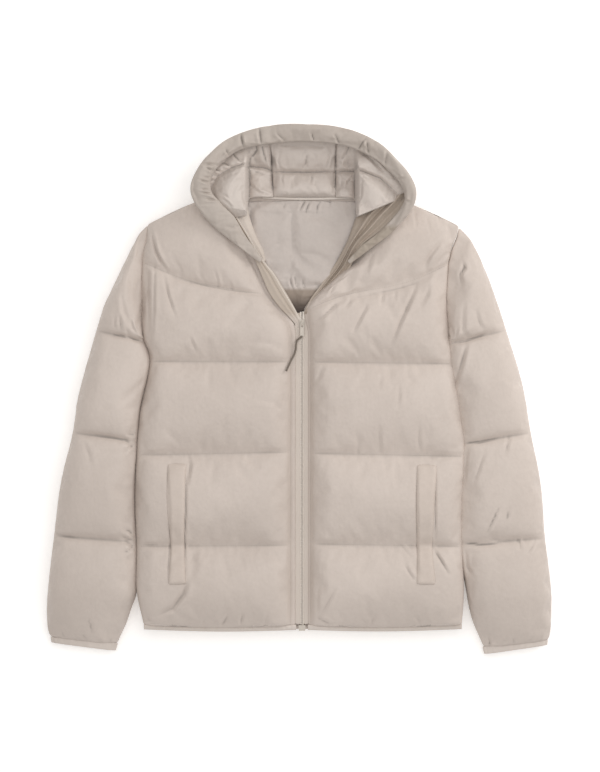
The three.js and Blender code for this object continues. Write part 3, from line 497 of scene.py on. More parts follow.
# %% Fronts' sections
FRONT_COLUMNS = "side_x side_y edge_x edge_y dip skew puff"
front_right = Sections(
    FRONT_COLUMNS,
    [
        (0, -254, -378.5, -9, -379.5, 3, 0, 20),
        (0.5, -266, -318, -9, -314, 0, 0, 27),
        (1, -266, -250, -9, -248, 0, 0, 27),
        (1.5, -269, -176, -9, -174, 0, 0, 28),
        (2, -266, -104, -9, -99, 0, 0, 28),
        (2.5, -260, -32, -9, -28, 0, 0, 28),
        (3, -245, 46, -9, 45, 0, 0, 28),
        (3.35, -257, 90, -10, 100, 2, 0, 27),
        (3.7, -259, 150, -32, 130, 6, 0, 25),
        (4, -258, 206, -50, 154, 13, 0, 24),
        (4.3, -255, 226, -68, 196, 8, 0, 21),
        (4.6, -251, 241, -82, 232, 3, 0, 19),
        (5, -247, 267, -94, 324, -8, 0, 14),
    ],
)
front_left = Sections(
    FRONT_COLUMNS,
    [
        (0, 256.5, -378, 9, -379.5, 3, 0, 20),
        (0.5, 260, -318, 9, -314, 0, 0, 27),
        (1, 257, -250, 9, -246, 0, 0, 27),
        (1.5, 259, -176, 9, -174, 0, 0, 28),
        (2, 262, -106, 9, -101, 0, 0, 28),
        (2.5, 256, -32, 9, -28, 0, 0, 28),
        (3, 243, 42, 9, 45, 0, 0, 28),
        (3.35, 236, 92, 9, 68, 0, 2, 27),
        (3.7, 233, 148, 9, 92, 1, 6, 25),
        (4, 235, 202, 3.6, 126, 2, 6, 24),
        (4.15, 237, 212, 13, 143, 2, 4, 22),
        (4.3, 239, 222, 31, 161, 1, 3, 21),
        (4.45, 241, 230, 56, 183, 1, 3, 20),
        (4.6, 244, 238, 84, 208, 0, 2, 19),
        (4.8, 248, 248, 100, 262, 0, 0, 17),
        (5, 252, 264, 94, 324, -7, 0, 14),
    ],
)
LINE_DEPTH = [0.75, 0.5, 0.5, 0.5, 0.42, 0.85]
FRONT_BASE = 30.4
EDGE_THICK = 4
# Each front's stitched margin beside the zip, how thick it is there and at its side.
MARGIN = {"right": (9.5, 5.8, 5), "left": (5, 6.2, 12)}
MARGIN_RISE = 34
FRONT_EDGE_RADIUS = 34


def front_point(sections, margin, u, at, fullness=1.0):
    """A point on a front's outside. u runs from the side seam, 0, to the zip's edge, 1."""
    read = sections.read
    margin_wide, margin_thick, side_thick = margin
    side_x, edge_x = read("side_x", at), read("edge_x", at)
    bow = read("dip", at) * math.sin(math.pi * u) + read("skew", at) * math.sin(2 * math.pi * u)
    x = lerp(side_x, edge_x, u)
    y = lerp(read("side_y", at), read("edge_y", at), u) - bow
    width = abs(edge_x - side_x)
    channel = min(int(at), len(LINE_DEPTH) - 2)
    t = at - channel
    sunk = lerp(LINE_DEPTH[channel], LINE_DEPTH[channel + 1], ease(t)) * (1 - hump(t))
    puff = read("puff", at) * lerp(1 - LINE_DEPTH[channel], 1 - sunk, fullness)
    from_edge = (1 - u) * width
    edge_rise = 0 if from_edge <= margin_wide else rounding(from_edge - margin_wide, MARGIN_RISE)
    height = lerp(margin_thick, EDGE_THICK + puff, edge_rise)
    return x, y, FRONT_BASE + lerp(side_thick, height, rounding(u * width, FRONT_EDGE_RADIUS))


# %% [markdown]
# Puffs by simulation
#
# A quilted channel is cloth that is a little too big for its seams. It could be sculpted,
# but the puckers that fan out from a seam would all have to be drawn. Here every padded
# piece starts as a closed skin, a row of rings on the plain form of its solid. Its seams
# are pinned, its cloth is told to grow by a few per cent, and a little air pressure lifts
# it. All the pieces settle in one run of the clock, and how far a point may travel is
# capped, so the puffs keep to their solids. A subdivision then makes each skin fine enough
# for folds.

# %% Skins
SETTLE_FRAMES = 20
settling = []


def as_piece(name, shape, finish=None):
    """Turn a finished shape into a piece of the scene."""
    mesh = bpy.data.meshes.new(name)
    shape.to_mesh(mesh)
    shape.free()
    if finish:
        mesh.materials.append(finish)
    piece = bpy.data.objects.new(name, mesh)
    bpy.context.collection.objects.link(piece)
    return piece


def skin(name, columns, rows, place, sewn=None):
    """A closed skin: row j is a ring of points place(i, j) in millimetres, and both ends are filled."""
    shape = bmesh.new()
    layer = shape.verts.layers.deform.verify()
    bmesh.ops.create_grid(shape, x_segments=columns, y_segments=rows - 1, size=1)
    shape.verts.ensure_lookup_table()
    for index, vert in enumerate(shape.verts):
        i, j = index % (columns + 1) % columns, index // (columns + 1)
        vert.co = Vector(place(i, j)) * MM
        vert[layer][0] = sewn(i, j) if sewn else 1.0
    bmesh.ops.remove_doubles(shape, verts=shape.verts, dist=0.01 * MM)
    rims = [edge for edge in shape.edges if edge.is_boundary]
    bmesh.ops.holes_fill(shape, edges=rims, sides=0)
    bmesh.ops.recalc_face_normals(shape, faces=shape.faces)
    piece = as_piece(name, shape)
    piece.vertex_groups.new(name="sewn")
    return piece


def settle_later(piece, growth, pressure, bending, cap):
    """Ask for a piece to be settled: its cloth grows by growth, as a share of its length."""
    cloth = piece.modifiers.new("cloth", "CLOTH")
    cloth.settings.quality = 5
    cloth.settings.mass = 0.12
    cloth.settings.air_damping = 6
    cloth.settings.tension_stiffness = 22
    cloth.settings.compression_stiffness = 22
    cloth.settings.shear_stiffness = 8
    cloth.settings.bending_stiffness = bending
    cloth.settings.shrink_min = -growth
    cloth.settings.vertex_group_mass = "sewn"
    cloth.settings.use_pressure = True
    cloth.settings.uniform_pressure_force = pressure
    cloth.settings.effector_weights.gravity = 0
    cloth.collision_settings.use_collision = False
    cloth.point_cache.frame_end = SETTLE_FRAMES
    settling.append((piece, cap))


def settle_all():
    for frame_number in range(1, SETTLE_FRAMES + 1):
        scene.frame_set(frame_number)
    graph = bpy.context.evaluated_depsgraph_get()
    for piece, cap in settling:
        start = [vert.co.copy() for vert in piece.data.vertices]
        settled = piece.evaluated_get(graph).data
        for vert, was, now in zip(piece.data.vertices, start, settled.vertices):
            step = now.co - was
            if step.length > cap * MM:
                step *= cap * MM / step.length
            vert.co = was + step
            vert.co.z = max(vert.co.z, 0)
    for piece, cap in settling:
        piece.modifiers.clear()
    settling.clear()
    scene.frame_set(1)


def refine(piece, levels=1):
    """Bake a subdivision into a piece's mesh and shade it smoothly."""
    smooth = piece.modifiers.new("smooth", "SUBSURF")
    smooth.levels = smooth.render_levels = levels
    graph = bpy.context.evaluated_depsgraph_get()
    fine = bpy.data.meshes.new_from_object(piece.evaluated_get(graph))
    piece.modifiers.clear()
    piece.data = fine
    fine.polygons.foreach_set("use_smooth", [True] * len(fine.polygons))
    print(piece.name, len(fine.polygons), "faces")


def fine_skin(name, columns, rows, place, finish):
    """A skin that keeps its form, so it is made fine at once."""
    piece = skin(name, columns, rows, place)
    piece.data.materials.append(finish)
    refine(piece)
    return piece


# %% [markdown]
# Folds drawn on top
#
# The large folds of a worn, packed garment are not random: they run from the ends of a
# pocket, from an armhole and from the neck, where the cloth is pulled. Those are laid on
# the fine skins. A fold is a line with a groove along it and a soft ridge beside
# the groove, and it fades at its ends.

# %% Folds


def fold(depth, width, *points, lift=0.55):
    """A fold of depth and width along points. A negative lift puts its ridge on the other side."""
    xs, ys = [p[0] for p in points], [p[1] for p in points]
    room = 4 * width
    return {
        "line": points,
        "depth": depth,
        "width": width,
        "lift": lift,
        "box": (min(xs) - room, max(xs) + room, min(ys) - room, max(ys) + room),
    }


def beside(line, x, y):
    """How far a point is from a line, signed by its side, and how far along the line it is."""
    nearest, side, along = 1e9, 1, 0
    parts = len(line) - 1
    for k in range(parts):
        (ax, ay), (bx, by) = line[k], line[k + 1]
        dx, dy = bx - ax, by - ay
        t = min(max(((x - ax) * dx + (y - ay) * dy) / (dx * dx + dy * dy), 0), 1)
        gap = math.hypot(x - ax - dx * t, y - ay - dy * t)
        if gap < nearest:
            nearest = gap
            side = 1 if dx * (y - ay) - dy * (x - ax) > 0 else -1
            along = (k + t) / parts
    return nearest * side, along


def fold_height(one, x, y):
    low_x, high_x, low_y, high_y = one["box"]
    if not (low_x < x < high_x and low_y < y < high_y):
        return 0
    away, along = beside(one["line"], x, y)
    fade = math.sin(math.pi * min(max(along, 0.02), 0.98)) ** 0.7
    way = away if one["lift"] > 0 else -away
    ridge = abs(one["lift"]) * math.exp(-(((way - 1.7 * one["width"]) / (1.3 * one["width"])) ** 2))
    return fade * one["depth"] * (ridge - math.exp(-((away / one["width"]) ** 2)))


def crumple(piece, folds, ripple=0.3, grain=34, turn=(1, 1), deep=1.9):
    """Lay folds and a faint ripple on the upper side of a piece, and mark its creases for painted shade and
    highlights.
    """
    facing_up = [max(vert.normal.z, 0) for vert in piece.data.vertices]
    for vert, up in zip(piece.data.vertices, facing_up):
        if up == 0:
            continue
        x, y = vert.co.x / MM, vert.co.y / MM
        spot = Vector((x * turn[0] / grain, y * turn[1] / grain, 0))
        change = ripple * (noise.noise(spot) + 0.5 * noise.noise(spot * 2.3))
        change += sum(fold_height(one, x, y) for one in folds)
        vert.co.z = max(vert.co.z + change * up * MM, 0)
    piece.data.update()
    mark_creases(piece, deep)


# %% [markdown]
# Painted shade in creases, painted highlights on ridges
#
# Cloth looks darker where it dips sharply, because less light reaches it there, so that shade
# is painted into its creases, and a highlight is painted along its ridges. The measure is
# simple: a point's place is compared with the average of the points round it. It is stored on
# the mesh and the nylon reads it.

# %% Creases


def mark_creases(piece, deep, reach=2):
    """Store how far each point lies below its surroundings, from -1 to 1, for the shade and highlight painted
    into the cloth's colour.
    """
    mesh = piece.data
    count = len(mesh.vertices)
    place, upward = np.empty(3 * count), np.empty(3 * count)
    mesh.vertices.foreach_get("co", place)
    mesh.vertices.foreach_get("normal", upward)
    ends = np.empty(2 * len(mesh.edges), dtype=np.int32)
    mesh.edges.foreach_get("vertices", ends)
    first, second = ends.reshape(-1, 2).T
    share = np.bincount(ends, minlength=count)[:, None]
    place = place.reshape(-1, 3) / MM
    around = place
    for _ in range(reach):
        columns = []
        for column in around.T:
            ahead = np.bincount(first, column[second], count)
            behind = np.bincount(second, column[first], count)
            columns.append(ahead + behind)
        around = np.stack(columns, axis=1) / share
    dip = ((around - place) * upward.reshape(-1, 3)).sum(axis=1) / deep
    mesh.attributes.new("crease", "FLOAT", "POINT").data.foreach_set("value", np.clip(dip, -1, 1))


# %% [markdown]
# The fronts
#
# Each front is one skin from hem to shoulder: a ring is a section across it, over the
# padded outside and back along the flat inside. The three quilting lines, the yoke line,
# the side seam and the stitched margin beside the zip are pinned, everything else may puff.

# %% Fronts
ROWS_PER_CHANNEL = 24
FRONT_ACROSS = 61
FRONT_UNDER = [1, 0.75, 0.5, 0.25, 0]
# A front's usual width, and how far its pins reach past the stitched margin, in millimetres.
FRONT_WIDTH = 250
PINS_REACH = 4


def front_skin(name, sections, margin):
    rows = 5 * ROWS_PER_CHANNEL + 1

    def place(i, j):
        at = j / ROWS_PER_CHANNEL
        if i < FRONT_ACROSS:
            return front_point(sections, margin, i / (FRONT_ACROSS - 1), at, 0.9)
        x, y = front_point(sections, margin, FRONT_UNDER[i - FRONT_ACROSS], at)[:2]
        return x, y, FRONT_BASE

    def sewn(i, j):
        u = i / (FRONT_ACROSS - 1)
        inner = 0 < i < FRONT_ACROSS and 0 < j < rows - 1
        free = inner and u * FRONT_WIDTH < FRONT_WIDTH - PINS_REACH - margin[0]
        return 0.0 if free and j % ROWS_PER_CHANNEL else 1.0

    piece = skin(name, FRONT_ACROSS + len(FRONT_UNDER), rows, place, sewn)
    settle_later(piece, growth=0.014, pressure=5, bending=1.2, cap=12)
    piece.data.materials.append(shell_cloth)
    return piece


front_cloth_right = front_skin("front_right_cloth", front_right, MARGIN["right"])
front_cloth_left = front_skin("front_left_cloth", front_left, MARGIN["left"])

# %% [markdown]
# The sleeves
#
# A sleeve is a padded tube pressed flat under its own weight. A ring across it is a soft
# rounded box. Its inner edge follows the side of the body, so the armhole seam and the
# side of the jacket need no numbers of their own.

# %% Sleeves
SLEEVE_COLUMNS = "outer_x outer_y inner_y clear middle top under"
sleeve_right = Sections(
    SLEEVE_COLUMNS,
    [
        (0, -248, 268, 86, -2.5, 31, 10, 16),
        (0.12, -262, 253, 85, -2, 31, 17, 23),
        (0.25, -272, 236, 84, -2, 31, 24, 30),
        (0.5, -297, 183, 82, -3, 31, 31, 38),
        (0.75, -317, 136, 80, -3, 31, 33, 38),
        (1, -330, 96, 77, -2, 31, 34, 38),
        (1.5, -358, -5, -2, -1, 31, 34, 38),
        (2, -368, -68, -82, -1.2, 31, 33, 38),
        (2.5, -387, -148, -160, -1, 31, 33, 38),
        (3, -398, -233, -243, -1, 30, 32, 38),
        (3.5, -408, -318, -322, -0.5, 27, 30, 36),
        (3.75, -410.5, -358, -360, 19, 20, 24, 30),
        (3.9, -409, -382, -391, 36, 15, 16, 20),
        (4, -404.5, -400, -411, 44, 12, 8.5, 9),
    ],
)
sleeve_left = Sections(
    SLEEVE_COLUMNS,
    [
        (0, 254, 264, 84, -2.5, 31, 10, 16),
        (0.12, 267, 249, 83, -2, 31, 17, 23),
        (0.25, 277, 234, 82, -2, 31, 24, 30),
        (0.5, 297, 190, 80, -3, 31, 31, 38),
        (0.75, 314, 139, 77, -5, 31, 33, 38),
        (1, 327.5, 96, 73, -7, 31, 34, 38),
        (1.5, 353, 12, -4, -8, 31, 34, 38),
        (2, 367, -68, -87, -8, 31, 33, 38),
        (2.5, 383, -150, -164, -8, 31, 33, 38),
        (3, 390, -237, -247, -7, 30, 32, 38),
        (3.5, 400, -318, -326, 4, 27, 30, 36),
        (3.75, 401, -358, -366, 15, 20, 24, 30),
        (3.9, 400, -386, -398, 29, 15, 16, 20),
        (4, 396.5, -405.5, -416.5, 37, 12, 8.5, 9),
    ],
)
SLEEVE_DEPTH = [0, 0.42, 0.45, 0.45, 0]
SLEEVE_AROUND = 68
SLEEVE_ROWS = 24
SLEEVE_SEAM = 0.96


def side_at(body, y):
    """The x of a front's side or armhole edge at a height y."""
    return body.read("side_x", body.find("side_y", y, 0, 5))


def bulge(t, power=0.8):
    return math.copysign(abs(t) ** power, t)


def ring_of(middle, half_up, half_down, ends, count):
    """A soft flat ring across two ends, each an (x, y), as count points."""
    (ax, ay), (bx, by) = ends
    points = []
    for k in range(count):
        angle = 2 * math.pi * k / count
        across = 0.5 - 0.5 * bulge(math.cos(angle))
        height = bulge(math.sin(angle))
        swell = half_up if height > 0 else half_down
        points.append([lerp(ax, bx, across), lerp(ay, by, across), middle + height * swell, across])
    return points


def sleeve_rings(sleeve, body, side):
    read = sleeve.read
    first = (read("outer_x", 0), read("outer_y", 0))
    last = (side_at(body, read("inner_y", 0)) + side * read("clear", 0), read("inner_y", 0))
    rings = []
    for j in range(4 * SLEEVE_ROWS + 1):
        at = j / SLEEVE_ROWS
        channel = min(int(at), 3)
        t = at - channel
        sunk = lerp(SLEEVE_DEPTH[channel], SLEEVE_DEPTH[channel + 1], ease(t)) * (1 - hump(t))
        inner_y = read("inner_y", at)
        inner = (side_at(body, inner_y) + side * read("clear", at), inner_y)
        outer = (read("outer_x", at), read("outer_y", at))
        top = read("top", at) * (1 - sunk)
        ring = ring_of(read("middle", at), top, read("under", at), (outer, inner), SLEEVE_AROUND)
        for point in ring:
            across = point[3]
            straight = lerp(first[0], last[0], across)
            armhole = side_at(body, lerp(first[1], last[1], across)) + side * read("clear", 0)
            point[0] += (1 - ease(at / 0.9)) * (armhole - straight)
            point[2] = max(point[2], 0)
        rings.append(ring)
    return rings


def sleeve_skin(name, sleeve, body, side):
    rings = sleeve_rings(sleeve, body, side)

    def sewn(i, j):
        top = 0 < i < SLEEVE_AROUND / 2 and rings[j][i][3] < SLEEVE_SEAM
        return 0.0 if top and j % SLEEVE_ROWS else 1.0

    piece = skin(name, SLEEVE_AROUND, len(rings), lambda i, j: rings[j][i][:3], sewn)
    settle_later(piece, growth=0.014, pressure=5, bending=1.2, cap=12)
    piece.data.materials.append(shell_cloth)
    return piece


sleeve_cloth_right = sleeve_skin("sleeve_right_cloth", sleeve_right, front_right, -1)
sleeve_cloth_left = sleeve_skin("sleeve_left_cloth", sleeve_left, front_left, 1)

# %% [markdown]
# The hood's padded edge
#
# The hood lies open behind the neck, and its face opening is a fat roll that runs from one
# neck corner over the crown to the other. The roll is read from one table of places. Its
# inner line is sewn to the hood's lining, and its cloth gathers there.

# %% Hood band
band = Sections(
    "out_x out_y in_x in_y low high",
    [
        (0, -67, 203, -63, 209, 50, 56),
        (1, -106, 232, -90, 246, 57, 66),
        (2, -143, 262, -107, 275, 60, 75),
        (3, -169, 294, -129, 298, 62, 82),
        (4, -178, 320, -144, 317, 62, 87),
        (5, -170, 346, -143, 340, 60, 87),
        (6, -151, 373, -126, 363, 56, 84),
        (7, -116, 400, -97, 383, 52, 79),
        (8, -65, 418, -50, 392, 50, 76),
        (9, 0, 424, 2, 396, 50, 76),
        (10, 68, 416, 64, 390, 52, 78),
        (11, 118, 395, 109, 372, 56, 82),
        (12, 153, 365, 138, 349, 59, 86),
        (13, 175, 336, 157, 327, 61, 88),
        (14, 182, 310, 163, 306, 62, 88),
        (15, 172, 283, 155, 287, 61, 82),
        (16, 143, 251, 130, 258, 59, 72),
        (17, 105, 222, 96, 231, 57, 64),
        (18, 76, 201, 72, 206, 50, 55),
    ],
)
BAND_AROUND = 28
BAND_ROWS = 271
BAND_LAST = 18


def band_ring(at, count):
    low, high = band.read("low", at), band.read("high", at)
    inner = (band.read("in_x", at), band.read("in_y", at))
    outer = (band.read("out_x", at), band.read("out_y", at))
    return ring_of((low + high) / 2, (high - low) / 2, (high - low) / 2, (inner, outer), count)


def band_place(i, j):
    return band_rings[j][i][:3]


def band_sewn(i, j):
    """Only the upper side may puff. The inner and outer lines and both ends are pinned."""
    return 0.0 if 1 < i < 12 and 2 < j < BAND_ROWS - 3 else 1.0


band_rings = [band_ring(BAND_LAST * j / (BAND_ROWS - 1), BAND_AROUND) for j in range(BAND_ROWS)]
hood_roll = skin("hood_band_cloth", BAND_AROUND, BAND_ROWS, band_place, band_sewn)
settle_later(hood_roll, growth=0.03, pressure=5, bending=0.6, cap=7)
hood_roll.data.materials.append(band_cloth)

# %% [markdown]
# The hood's panels
#
# Three quilted panels hang from under the roll to the neck seam. Seen from above they are
# the hood's lining: a back panel with two stacked puffs, and a side panel each side that
# climbs over the shoulder. Each is a skin whose rings go over the lining side and return
# along the outside, which rests on the table or on the shoulder.

# %% Hood panels
SEAM_PLACE = {"right": 8.08, "left": 9.83}
NECK_Y = 309
CENTRE_SEAM_Y = 350.5
SHOULDER_X = 84
SHOULDER_TOP = 61
# How far a panel slopes down from the roll, and how far its rim turns up into it.
RIM_SLOPE = 46
RIM_TURN, RIM_TURN_RUN = 5.4, 9
SIDE_PUFF = 15
CENTRE_PUFF = 16
CENTRE_CHANNEL = 41
HOOD_SEAMS = {
    "right": [
        [(-47, 352), (-63, 357.6), (-86.6, 359), (-96.3, 359.8), (-115.5, 353.4), (-134.9, 341), (-147, 320)],
        [(-88, 359), (-87.5, 330), (-86, 300)],
        [(-70, 357), (-76, 376), (-74, 398)],
    ],
    "left": [
        [(54, 350), (72, 351.5), (91, 350.7), (124, 338.4), (152, 314)],
        [(88, 350), (86.4, 330), (86, 300)],
        [(76, 351), (72, 372), (78, 392)],
    ],
}
neck_centre = Sections("x y", [(0, -47, 308.6), (1, 55, 308.6)])
neck_right = Sections(
    "x y",
    [
        (0, -45, 308.6),
        (0.2, -62, 308.4),
        (0.36, -76, 308.2),
        (0.46, -84, 306),
        (0.55, -86, 300),
        (0.75, -86.5, 290),
        (1, -88, 279),
    ],
)
neck_left = Sections(
    "x y",
    [
        (0, 53, 308.6),
        (0.12, 63, 308.4),
        (0.26, 74, 308.2),
        (0.36, 83, 306),
        (0.46, 85.5, 300),
        (0.7, 86, 288),
        (1, 87, 276),
    ],
)


def over_shoulder(side, x, start, run):
    """0 beside the neck and 1 where a side panel lies on its shoulder."""
    return ease(((-x if side == "right" else x) - start) / run) if side else 0


def rest_height(side, x, y):
    """What a panel lies on: the back's neck edge, the shoulder, or the table beyond them."""
    neck = 31 * ease((336 - y) / 10)
    return lerp(neck, 56 * ease((372 - y) / 40), over_shoulder(side, x, SHOULDER_X, 14))


def side_height(side, x, y, u, rim_top, slope):
    """A side panel's lining puffs between its seams and climbs over the shoulder."""
    seam = min(abs(beside(line, x, y)[0]) for line in HOOD_SEAMS[side])
    seam = min(seam, 2 + 120 * min(u, 1.2 - u))
    base = lerp(lerp(34, 23, ease((y - 311) / 26)), SHOULDER_TOP, over_shoulder(side, x, SHOULDER_X, 6))
    base = lerp(base, 34, ease((y - 358) / 30) * 0.6)
    base -= 9 * ease((u - 0.84) / 0.16) if side == "right" else 0
    return lerp(base, rim_top - 6, slope) + SIDE_PUFF * (1 - math.exp(-seam / 8)) * (1 - 0.75 * slope)


def centre_height(u, from_neck, rim_top, slope):
    """The back panel's lining has two puffs, one above the other, from the neck seam up."""
    puffed = from_neck < 2 * CENTRE_CHANNEL
    puff = CENTRE_PUFF * hump(from_neck / CENTRE_CHANNEL % 1, 2) if puffed else 0
    floor = lerp(33, 21, ease(from_neck / 34)) + puff * (0.2 + 0.8 * rounding(min(u, 1 - u), 0.2))
    return lerp(floor, rim_top, slope)


def hood_point(side, start, end, neck, u, v, lining_side):
    """A point on a panel: u runs along the roll, v from the roll, 0, down to the neck seam, 1."""
    at = lerp(start, end, u)
    rim_top = band.read("low", at) - 0.4
    across = 0.4 if lining_side else 0.74
    rim_x = lerp(band.read("in_x", at), band.read("out_x", at), across)
    rim_y = lerp(band.read("in_y", at), band.read("out_y", at), across)
    neck_x, neck_y = neck.read("x", u), neck.read("y", u)
    length = math.hypot(rim_x - neck_x, rim_y - neck_y)
    x, y = lerp(rim_x, neck_x, v), lerp(rim_y, neck_y, v)
    rest = rest_height(side, x, y)
    slope = 1 - ease(v * length / RIM_SLOPE)
    if side:
        inside = side_height(side, x, y, u, rim_top, slope)
    else:
        inside = centre_height(u, (1 - v) * length, rim_top, slope)
    # The rim turns up into the roll, so that no light comes in between them.
    inside = lerp(inside, rim_top + RIM_TURN, 1 - ease(v * length / RIM_TURN_RUN))
    if lining_side:
        return x, y, inside
    under = (rim_top - 1.5) * (1 - rounding(v * length, 40))
    return x, y, min(max(rest, under), inside - 3)


HOOD_DOWN = 40
HOOD_BELOW = 9


def hood_skin(name, side, start, end, neck, across, on_seam):
    def place(i, j):
        u = j / (across - 1)
        if i < HOOD_DOWN:
            return hood_point(side, start, end, neck, u, i / (HOOD_DOWN - 1), True)
        return hood_point(side, start, end, neck, u, 1 - (i - HOOD_DOWN) / (HOOD_BELOW - 1), False)

    def sewn(i, j):
        inner = 0 < i < HOOD_DOWN - 1 and 0 < j < across - 1
        if not inner:
            return 1.0
        return 1.0 if on_seam(*place(i, j)[:2]) else 0.0

    piece = skin(name, HOOD_DOWN + HOOD_BELOW, across, place, sewn)
    settle_later(piece, growth=0.04, pressure=4, bending=0.3, cap=6)
    piece.data.materials.append(hood_lining_cloth)
    return piece


def near_seams(side):
    return lambda x, y: min(abs(beside(line, x, y)[0]) for line in HOOD_SEAMS[side]) < 1.8


def near_centre_seam(x, y):
    return abs(y - CENTRE_SEAM_Y) < 1.6


hood_back = hood_skin(
    "hood_centre_cloth",
    side=None,
    start=SEAM_PLACE["right"],
    end=SEAM_PLACE["left"],
    neck=neck_centre,
    across=37,
    on_seam=near_centre_seam,
)
hood_right = hood_skin(
    "hood_side_right_cloth",
    side="right",
    start=SEAM_PLACE["right"] + 0.05,
    end=2.1,
    neck=neck_right,
    across=61,
    on_seam=near_seams("right"),
)
hood_left = hood_skin(
    "hood_side_left_cloth",
    side="left",
    start=SEAM_PLACE["left"] - 0.05,
    end=13.9,
    neck=neck_left,
    across=61,
    on_seam=near_seams("left"),
)

# %% [markdown]
# The lining at the neck
#
# Through the open zip shows the smooth lining of the back. A seam runs down it and another
# crosses it, and it is gathered a little under the neck seam.

# %% Back lining


def neck_edge_at(sections, y):
    return sections.read("edge_x", sections.find("edge_y", y, 3.35, 5))


LINING_ACROSS = 41
LINING_ROWS = 61
LINING_SEAM = (-15, 163)
LINING_LOW, LINING_HIGH = 116, 303.5
LINING_CLEAR = 1.2


def lining_place(i, j):
    y = lerp(LINING_LOW, LINING_HIGH, j / (LINING_ROWS - 1))
    low = neck_edge_at(front_right, y) + LINING_CLEAR
    high = neck_edge_at(front_left, y) - LINING_CLEAR
    if i >= LINING_ACROSS:
        return lerp(high, low, (i - LINING_ACROSS) / 4), y, FRONT_BASE
    x = lerp(low, high, i / (LINING_ACROSS - 1))
    edge = ease(min(x - low, high - x, y - LINING_LOW, LINING_HIGH - y) / 16)
    seams = ease(min(abs(y - LINING_SEAM[1]), abs(x - LINING_SEAM[0])) / 14)
    return x, y, FRONT_BASE + 1.4 + 2.6 * edge * (0.5 + 0.5 * seams)


def lining_sewn(i, j):
    x, y = lining_place(i, j)[:2]
    inner = 0 < i < LINING_ACROSS - 1 and 0 < j < LINING_ROWS - 1
    seam_down = abs(x - LINING_SEAM[0]) < 1.5 and y > LINING_SEAM[1]
    seam_across = abs(y - LINING_SEAM[1]) < 1.2
    return 0.0 if inner and not seam_down and not seam_across else 1.0


neck_lining = skin("back_lining_cloth", LINING_ACROSS + 5, LINING_ROWS, lining_place, lining_sewn)
settle_later(neck_lining, growth=0.03, pressure=1.5, bending=0.2, cap=3)
neck_lining.data.materials.append(lining_cloth)

# %% Settle
settle_all()
padded_cloths = [
    front_cloth_right,
    front_cloth_left,
    sleeve_cloth_right,
    sleeve_cloth_left,
    hood_roll,
    hood_back,
    hood_right,
    hood_left,
    neck_lining,
]
for piece in padded_cloths:
    refine(piece)

# %% Front folds
crumple(
    front_cloth_right,
    [
        fold(5.0, 2.4, (-242, 256), (-237, 236), (-232.5, 220), (-225, 204), (-215, 190)),
        fold(2.2, 2.2, (-235, 206), (-236, 160), (-236, 130), (-239, 84)),
        fold(1.8, 2.0, (-245, 196), (-247, 150), (-244, 100), lift=-0.5),
        fold(2.0, 3.5, (-206, 181), (-185, 174), (-155, 168), (-128, 164), (-60, 152), lift=-0.4),
        fold(2.6, 2.4, (-222, 188), (-213, 150), (-202, 117)),
        fold(2.0, 2.4, (-178, 84), (-168, 60)),
        fold(1.4, 2.2, (-139, 189), (-135, 176), (-133, 163)),
        fold(1.2, 2.2, (-116, 175), (-110, 158)),
        fold(1.6, 4, (-252, 210), (-246, 150), (-243, 60)),
        fold(1.4, 3, (-177.5, -113), (-181, -134), (-183, -155)),
        fold(4.6, 4.4, (-183, -304), (-190, -326), (-206, -348), (-236, -363)),
        fold(2.4, 7, (-178, -250), (-172, -280), (-180, -306)),
        fold(3.4, 1.6, (-215.4, -122), (-211.8, -188), (-210.6, -240), (-214.6, -308), lift=0.2),
        fold(3.4, 1.6, (-184.4, -124), (-184.8, -190), (-187.2, -240), (-185.6, -308), lift=0.2),
        fold(2.4, 3.4, (-181, -104), (-179, -122), (-183, -150)),
        fold(3.0, 2.4, (-130, -379), (-124, -370), (-118, -360)),
        fold(3.0, 2.4, (-98, -379), (-97, -368), (-95, -358)),
        fold(2.0, 2.4, (-232, -378), (-240, -371), (-250, -366)),
        fold(1.6, 2.6, (-160, -379), (-158, -370), (-150, -362)),
        fold(1.4, 2.6, (-60, -378), (-58, -366), (-52, -356)),
        fold(1.4, 4, (-20, -40), (-45, -20), (-80, -12)),
        fold(1.2, 4, (-20, 60), (-50, 74), (-84, 78)),
        fold(1.6, 2.6, (-256, -100), (-244, -99), (-232, -99), lift=0.3),
        fold(1.6, 2.6, (-258, -246), (-244, -247), (-230, -247), lift=0.3),
    ],
)
